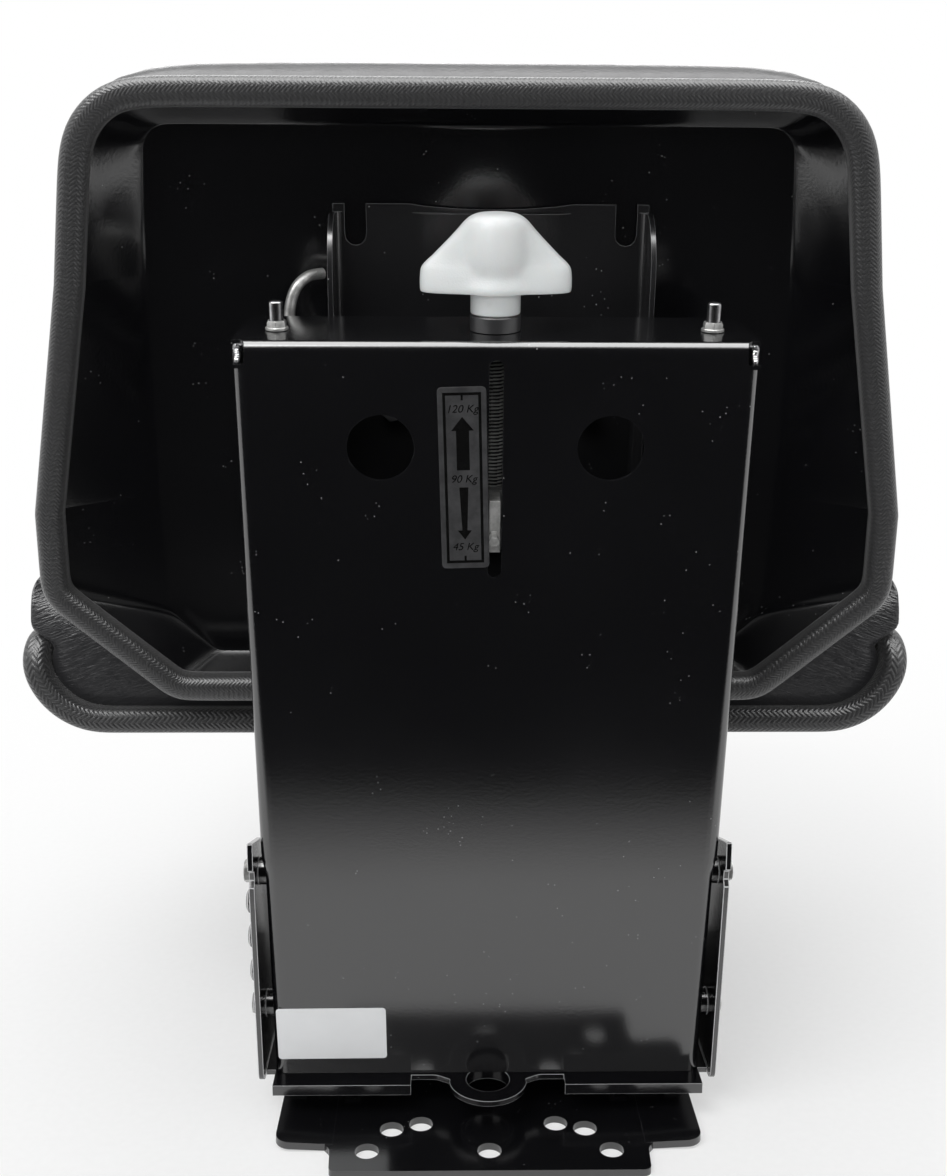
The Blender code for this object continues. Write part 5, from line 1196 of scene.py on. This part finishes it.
def foil_paint():
    """Brushed dark silver foil, scuffed lighter in places."""
    n = Nodes("label_foil")
    scuff = n.noise(120.0, 4.0, 0.7)
    fine = n.noise(900.0, 2.0)
    return n.set(
        color=n.mix(n.ramp(scuff, 0.35, 0.75), (0.040, 0.040, 0.042), (0.080, 0.080, 0.083)),
        metallic=0.45,
        roughness=n.ramp(fine, 0.3, 0.7, 0.42, 0.58),
        normal=n.bump(fine, 0.00003, 0.5),
    )


def white_sticker():
    """The bare white sticker at the foot of the box."""
    face = on_rear_face(*STICKER_AT, 0.4, 0.0001)
    levels = ((0.0, 0.0, 0.0020), (0.00012, 0.0, 0.0020), (0.00020, 0.0001, 0.0019))
    bm = thin_plate(*STICKER_HALF, levels, face)
    paper = plastic("white_sticker", (0.74, 0.75, 0.76), 0.50, 1200.0, 0.00004)
    piece("white_sticker", bm, "white_plastic", "slide_frame", (), paper)


def stud_nuts():
    """Flanged nuts on the rods' threaded ends."""
    for side, word in SIDES:
        center = (side * ROD_X, -ROD_D)
        base = BOX_H + 0.0003
        rings = []
        for height, radius, hexagonal in (
            (base, 0.0054, 0.0),
            (base + 0.0010, 0.0054, 0.0),
            (base + 0.0014, 0.0049, 1.0),
            (base + 0.0034, 0.0049, 1.0),
            (base + 0.0043, 0.0042, 0.3),
        ):
            ring = []
            for k in range(48):
                angle = 2 * math.pi * k / 48
                flat = math.cos(math.pi / 6) / math.cos((angle + math.pi / 6) % (math.pi / 3) - math.pi / 6)
                size = radius * (1 + (flat - 1) * hexagonal)
                ring.append((center[0] + size * math.cos(angle), center[1] + size * math.sin(angle), height))
            rings.append(ring)
        bore = STUD_R + 0.0003
        for height in (base + 0.0043, base):
            rings.append([(*point, height) for point in circle(*center, bore, 48)])
        bm = loft(rings, UPRIGHT, closed=True)
        piece(f"stud_nut_{word}", bm, "zinc_plate", "slide_frame", (f"rod_nut_{word}",))


def rods():
    """The round pieces on the rods, turned finely: name, slot, body, profile and bore."""
    low, high = CARRIAGE_S
    sleeve = high + STOP_H + ROD_CLEAR
    top = BOX_H - BOX_T - ROD_CLEAR
    stud_top = BOX_H + STUD_TOP
    rod = [(0.006, 0.0), (0.007, 0.001), (0.007, sleeve), (0.010, sleeve), (0.010, top), (STUD_R, top)]
    rod += [(STUD_R, stud_top - 0.0008), (STUD_R - 0.0003, stud_top - 0.0003), (STUD_R - 0.0009, stud_top)]
    buffer = bulged(0.0126, low - SUSPENSION_TRAVEL - ROD_CLEAR)
    stop = bulged(high + ROD_CLEAR, high + STOP_H)
    rounds = (
        ("guide_rod", "ground_steel", "slide_frame", rod, None),
        ("lower_buffer", "rubber", "slide_frame", buffer, STOP_BORE),
        ("stop_ring", "rubber", "slide_frame", stop, STOP_BORE),
        ("guide_bush", "white_plastic", "carriage", [(0.0087, low), (0.0087, high)], STOP_BORE),
    )
    for side, word in SIDES:
        for node, slot, body, profile, bore in rounds:
            bm = turned(profile, (side * ROD_X, -ROD_D), 56, bore)
            piece(f"{node}_{word}_turned", bm, slot, body, (f"{node}_{word}",))


def bulged(low, high):
    """A short rubber ring's profile, fuller in the middle and rounded at both ends."""
    profile = [(STOP_R - 0.0008, low)]
    for k in range(9):
        share = k / 8
        radius = STOP_R + 0.0006 * math.sin(math.pi * share)
        profile.append((radius, low + 0.0005 + (high - low - 0.001) * share))
    profile.append((STOP_R - 0.0008, high))
    return profile


def springs():
    """The two weight springs with their hooked ends."""
    low, high = CARRIAGE_S[0] - 0.0028, BOX_H - 0.1005 - 0.0003 + 0.0028
    d = -SPRING_AT[1]
    coils, per_coil = 10, 28
    coil_low, coil_high = low + 0.016, high - 0.016
    for side, word in SIDES:
        x = side * SPRING_AT[0]
        path = [(x - 0.0045, d, low + 0.0005), (x - 0.002, d, low - 0.0006)]
        path += [(x, d, low + 0.0010), (x, d, low + 0.008)]
        for k in range(coils * per_coil + 1):
            angle = 2 * math.pi * k / per_coil
            height = coil_low + (coil_high - coil_low) * k / (coils * per_coil)
            path.append((x + COIL_R * math.cos(angle), d + COIL_R * math.sin(angle), height))
        path += [(x, d, high - 0.008), (x, d, high - 0.0010)]
        path += [(x + 0.002, d, high + 0.0006), (x + 0.0045, d, high - 0.0005)]
        bm = tube_along(path, WIRE_R, 12)
        piece(f"weight_spring_{word}_wound", bm, "black_frame_paint", "carriage", (f"weight_spring_{word}",))


def tube_along(path, radius, sides):
    """A round bar through the points of a path in the upright frame."""
    rings = []
    across = None
    for k, point in enumerate(path):
        ahead = Vector(path[min(k + 1, len(path) - 1)]) - Vector(path[max(k - 1, 0)])
        ahead.normalize()
        if across is None:
            across = ahead.orthogonal().normalized()
        across = (across - ahead * across.dot(ahead)).normalized()
        other = ahead.cross(across)
        ring = []
        for side in range(sides):
            angle = 2 * math.pi * side / sides
            ring.append(Vector(point) + (across * math.cos(angle) + other * math.sin(angle)) * radius)
        rings.append(ring)
    return loft(rings, UPRIGHT)


def bent_rod():
    """The small bright bail beside the carrier bracket, bent on a smooth curve."""
    x = 0.083 + 0.0003 + 0.003
    points = [(x, 0.100, BOX_H + 0.0150), (x + 0.0070, 0.094, BOX_H + 0.0143)]
    points += [(x + 0.0125, 0.088, BOX_H + 0.0095), (x + 0.0155, 0.085, BOX_H + 0.0010)]
    points += [(x + 0.0155, 0.084, BOX_H - 0.010), (x + 0.0100, 0.085, BOX_H - 0.022)]
    levels = eased_levels(points + [(x, 0.090, BOX_H - 0.030)], 8)
    bm = tube_along([(a, -b, s) for a, b, s in levels], 0.0028, 24)
    piece("bent_rod_drawn", bm, "zinc_plate", "carriage", ("bent_rod",))


def weld_bead(name, spots, radius, body, seed):
    """A lumpy bead of weld through the given spots."""
    rings = []
    path = eased_levels(spots, 10)
    for k, point in enumerate(path):
        share = k / (len(path) - 1)
        ends = math.sqrt(max(0.0, 1 - (2 * share - 1) ** 4))
        ripple = 1 + 0.16 * math.sin(k * 2.1 + seed)
        size = radius * max(0.15, ends) * ripple
        ahead = Vector(path[min(k + 1, len(path) - 1)] - path[max(k - 1, 0)]).normalized()
        across = ahead.orthogonal().normalized()
        other = ahead.cross(across)
        ring = []
        for side in range(14):
            angle = 2 * math.pi * side / 14
            lump = 1 + 0.22 * noise.noise(Vector((k * 0.6, side * 0.9, seed)))
            ring.append(Vector(point) + (across * math.cos(angle) + other * math.sin(angle)) * size * lump)
        rings.append(ring)
    piece(name, loft(rings, UPRIGHT), "ground_steel", body, crease_deg=60.0)


def welds():
    for side, word in SIDES:
        x = side * (BOX_HALF_W - 0.0022)
        spots = [(x, -0.0018, BOX_H - 0.0100), (x - side * 0.0006, -0.0030, BOX_H - 0.0070)]
        spots += [(x - side * 0.0002, -0.0040, BOX_H - 0.0040), (x, -0.0062, BOX_H - 0.0026)]
        weld_bead(f"corner_weld_{word}", spots, 0.0016, "slide_frame", 3.0 * side)


SOFTENED = (
    ("carrier_bracket", "carriage"),
    ("carriage", "carriage"),
    ("seat_arm_left", "carriage"),
    ("seat_arm_right", "carriage"),
    ("side_plate_left", "slide_frame"),
    ("side_plate_right", "slide_frame"),
    ("damper_bracket", "slide_frame"),
    ("lever_bracket", "slide_frame"),
    ("lower_rail_left", "base"),
    ("lower_rail_right", "base"),
    ("upper_rail_left", "slide_frame"),
    ("upper_rail_right", "slide_frame"),
    ("latch_rack", "base"),
    ("latch_lever", "latch"),
    ("lever_grip", "latch"),
    ("indicator_nut", "nut"),
    ("cross_bar", "nut"),
)


# Scene


def camera():
    data = bpy.data.cameras.new("camera")
    data.sensor_fit = "VERTICAL"
    data.sensor_height = 36.0
    data.lens = 36.0 * FOCAL_PX / PHOTO_SIZE[1]
    made = bpy.data.objects.new("camera", data)
    made.location = CAMERA_AT
    aim = Matrix.Rotation(math.radians(180.0 - CAMERA_TURN_DEG), 3, "Z")
    aim = aim @ Matrix.Rotation(math.radians(90.0 - CAMERA_PITCH_DEG), 3, "X")
    made.rotation_euler = (aim @ Matrix.Rotation(math.radians(CAMERA_ROLL_DEG), 3, "Z")).to_euler()
    bpy.context.scene.collection.objects.link(made)
    bpy.context.scene.camera = made


def lamp(name, at, toward, size, power, mirrored_too=True):
    data = bpy.data.lights.new(name, "AREA")
    data.shape = "RECTANGLE"
    data.size, data.size_y = size
    data.energy = power
    made = bpy.data.objects.new(name, data)
    made.location = at
    made.rotation_euler = (Vector(toward) - Vector(at)).to_track_quat("-Z", "Y").to_euler()
    made.visible_glossy = mirrored_too
    bpy.context.scene.collection.objects.link(made)


def card(name, corners, shade, fade=None):
    """A card seen only in reflections; fade gives an axis with its clear and full ends."""
    bm = bmesh.new()
    bm.faces.new([bm.verts.new(corner) for corner in corners])
    n = Nodes(name)
    glow = n.add("ShaderNodeEmission")
    glow.inputs["Strength"].default_value = shade
    surface = glow.outputs[0]
    if fade is not None:
        axis, clear, full = fade
        split = n.add("ShaderNodeSeparateXYZ")
        n.link(n.place, split.inputs[0])
        blend = n.add("ShaderNodeMixShader")
        n.link(n.ramp(split.outputs[axis], clear, full), blend.inputs[0])
        n.link(n.add("ShaderNodeBsdfTransparent").outputs[0], blend.inputs[1])
        n.link(surface, blend.inputs[2])
        surface = blend.outputs[0]
    n.link(surface, n.tree.nodes["Material Output"].inputs["Surface"])
    made = object_of(name, bm, n.material)
    made.visible_camera = False
    made.visible_diffuse = False
    made.visible_shadow = False
    made.visible_transmission = False


def studio():
    world = bpy.data.worlds.new("studio")
    bpy.context.scene.world = world
    world.use_nodes = True
    tree = world.node_tree
    light = tree.nodes.new("ShaderNodeLightPath")
    seen = tree.nodes.new("ShaderNodeMath")
    seen.operation = "MAXIMUM"
    tree.links.new(light.outputs["Is Camera Ray"], seen.inputs[0])
    tree.links.new(light.outputs["Is Glossy Ray"], seen.inputs[1])
    through = tree.nodes.new("ShaderNodeMath")
    through.operation = "MAXIMUM"
    tree.links.new(seen.outputs[0], through.inputs[0])
    tree.links.new(light.outputs["Is Transmission Ray"], through.inputs[1])
    strength = tree.nodes.new("ShaderNodeMapRange")
    tree.links.new(through.outputs[0], strength.inputs["Value"])
    strength.inputs["To Min"].default_value = 0.55
    strength.inputs["To Max"].default_value = 1.0
    background = tree.nodes["Background"]
    background.inputs["Color"].default_value = (1.0, 1.0, 1.0, 1.0)
    tree.links.new(strength.outputs["Result"], background.inputs["Strength"])

    low = [(-2.2, 0.25, 0.002), (2.2, 0.25, 0.002), (2.2, 3.0, 0.002), (-2.2, 3.0, 0.002)]
    card("floor_flag", low, 0.010, (1, 0.28, 0.38))
    rear = [(-1.1, 1.9, 0.0), (1.1, 1.9, 0.0), (1.1, 1.9, 2.4), (-1.1, 1.9, 2.4)]
    card("rear_flag", rear, 0.010, (2, 2.4, 1.9))
    above = [(-1.7, -0.5, 2.4), (1.7, -0.5, 2.4), (1.7, 1.5, 2.4), (-1.7, 1.5, 2.4)]
    card("overhead_card", above, 6.0)

    floor = object_of("floor", extrusion([circle(0.0, 0.0, 4.0, 96)], -0.02, -0.0002, "xy"), floor_paint())
    lamp("key", (0.9, 1.1, 2.0), (0.0, 0.0, 0.25), (1.4, 1.0), 22.0)
    lamp("fill", (0.0, 2.0, 0.95), (0.0, 0.0, 0.30), (0.5, 0.5), 7.0, False)
    lamp("front", (0.0, -1.8, 1.6), (0.0, 0.0, 0.3), (1.6, 1.0), 16.0)


def floor_paint():
    """A pale floor that fades into the white behind it."""
    n = Nodes("pale_floor")
    reach = n.add("ShaderNodeVectorMath", operation="LENGTH")
    n.link(n.place, reach.inputs[0])
    fade = n.ramp(reach.outputs["Value"], 0.15, 1.1, 0.45, 1.0)
    glow = n.add("ShaderNodeEmission")
    glow.inputs["Color"].default_value = (1.0, 1.0, 1.0, 1.0)
    speckle = n.noise(220.0, 2.0)
    n.set(color=n.mix(n.ramp(speckle, 0.3, 0.7), (0.90, 0.90, 0.90), (0.93, 0.93, 0.93)), roughness=0.85)
    path = n.add("ShaderNodeLightPath")
    seen = n.math("MAXIMUM", path.outputs["Is Camera Ray"], path.outputs["Is Glossy Ray"])
    seen = n.math("MAXIMUM", seen, path.outputs["Is Transmission Ray"])
    blend = n.add("ShaderNodeMixShader")
    n.link(n.math("MULTIPLY", fade, seen), blend.inputs[0])
    n.link(n.shader.outputs[0], blend.inputs[1])
    n.link(glow.outputs[0], blend.inputs[2])
    n.link(blend.outputs[0], n.tree.nodes["Material Output"].inputs["Surface"])
    return n.material


bpy.context.scene.view_settings.view_transform = "Standard"
for record in frame["record"]["subparts"]:
    cad = frame["nodes"][record["node"]]
    cad.data.materials.clear()
    # The backrest bolts take black frame paint in place of their zinc, so that they stay dark where the fill
    # lamp reaches them: painted shade.
    shade_darkened_bolt = record["node"].startswith("backrest_bolt")
    cad.data.materials.append(PAINTS["black_frame_paint" if shade_darkened_bolt else record["material_slot"]])

camera()
studio()
suspension_box()
knob()
spindle()
base_plate()
foot_plate()
tray = backrest_pan()
backrest_trim()
seat_trim()
seat_cushion()
backrest_cushion(tray)
weight_label()
white_sticker()
stud_nuts()
rods()
springs()
bent_rod()
welds()
for node, body in SOFTENED:
    slot = next(r["material_slot"] for r in frame["record"]["subparts"] if r["node"] == node)
    softened(node, slot, body, BRACKET_BLACK if node == "carrier_bracket" else None)
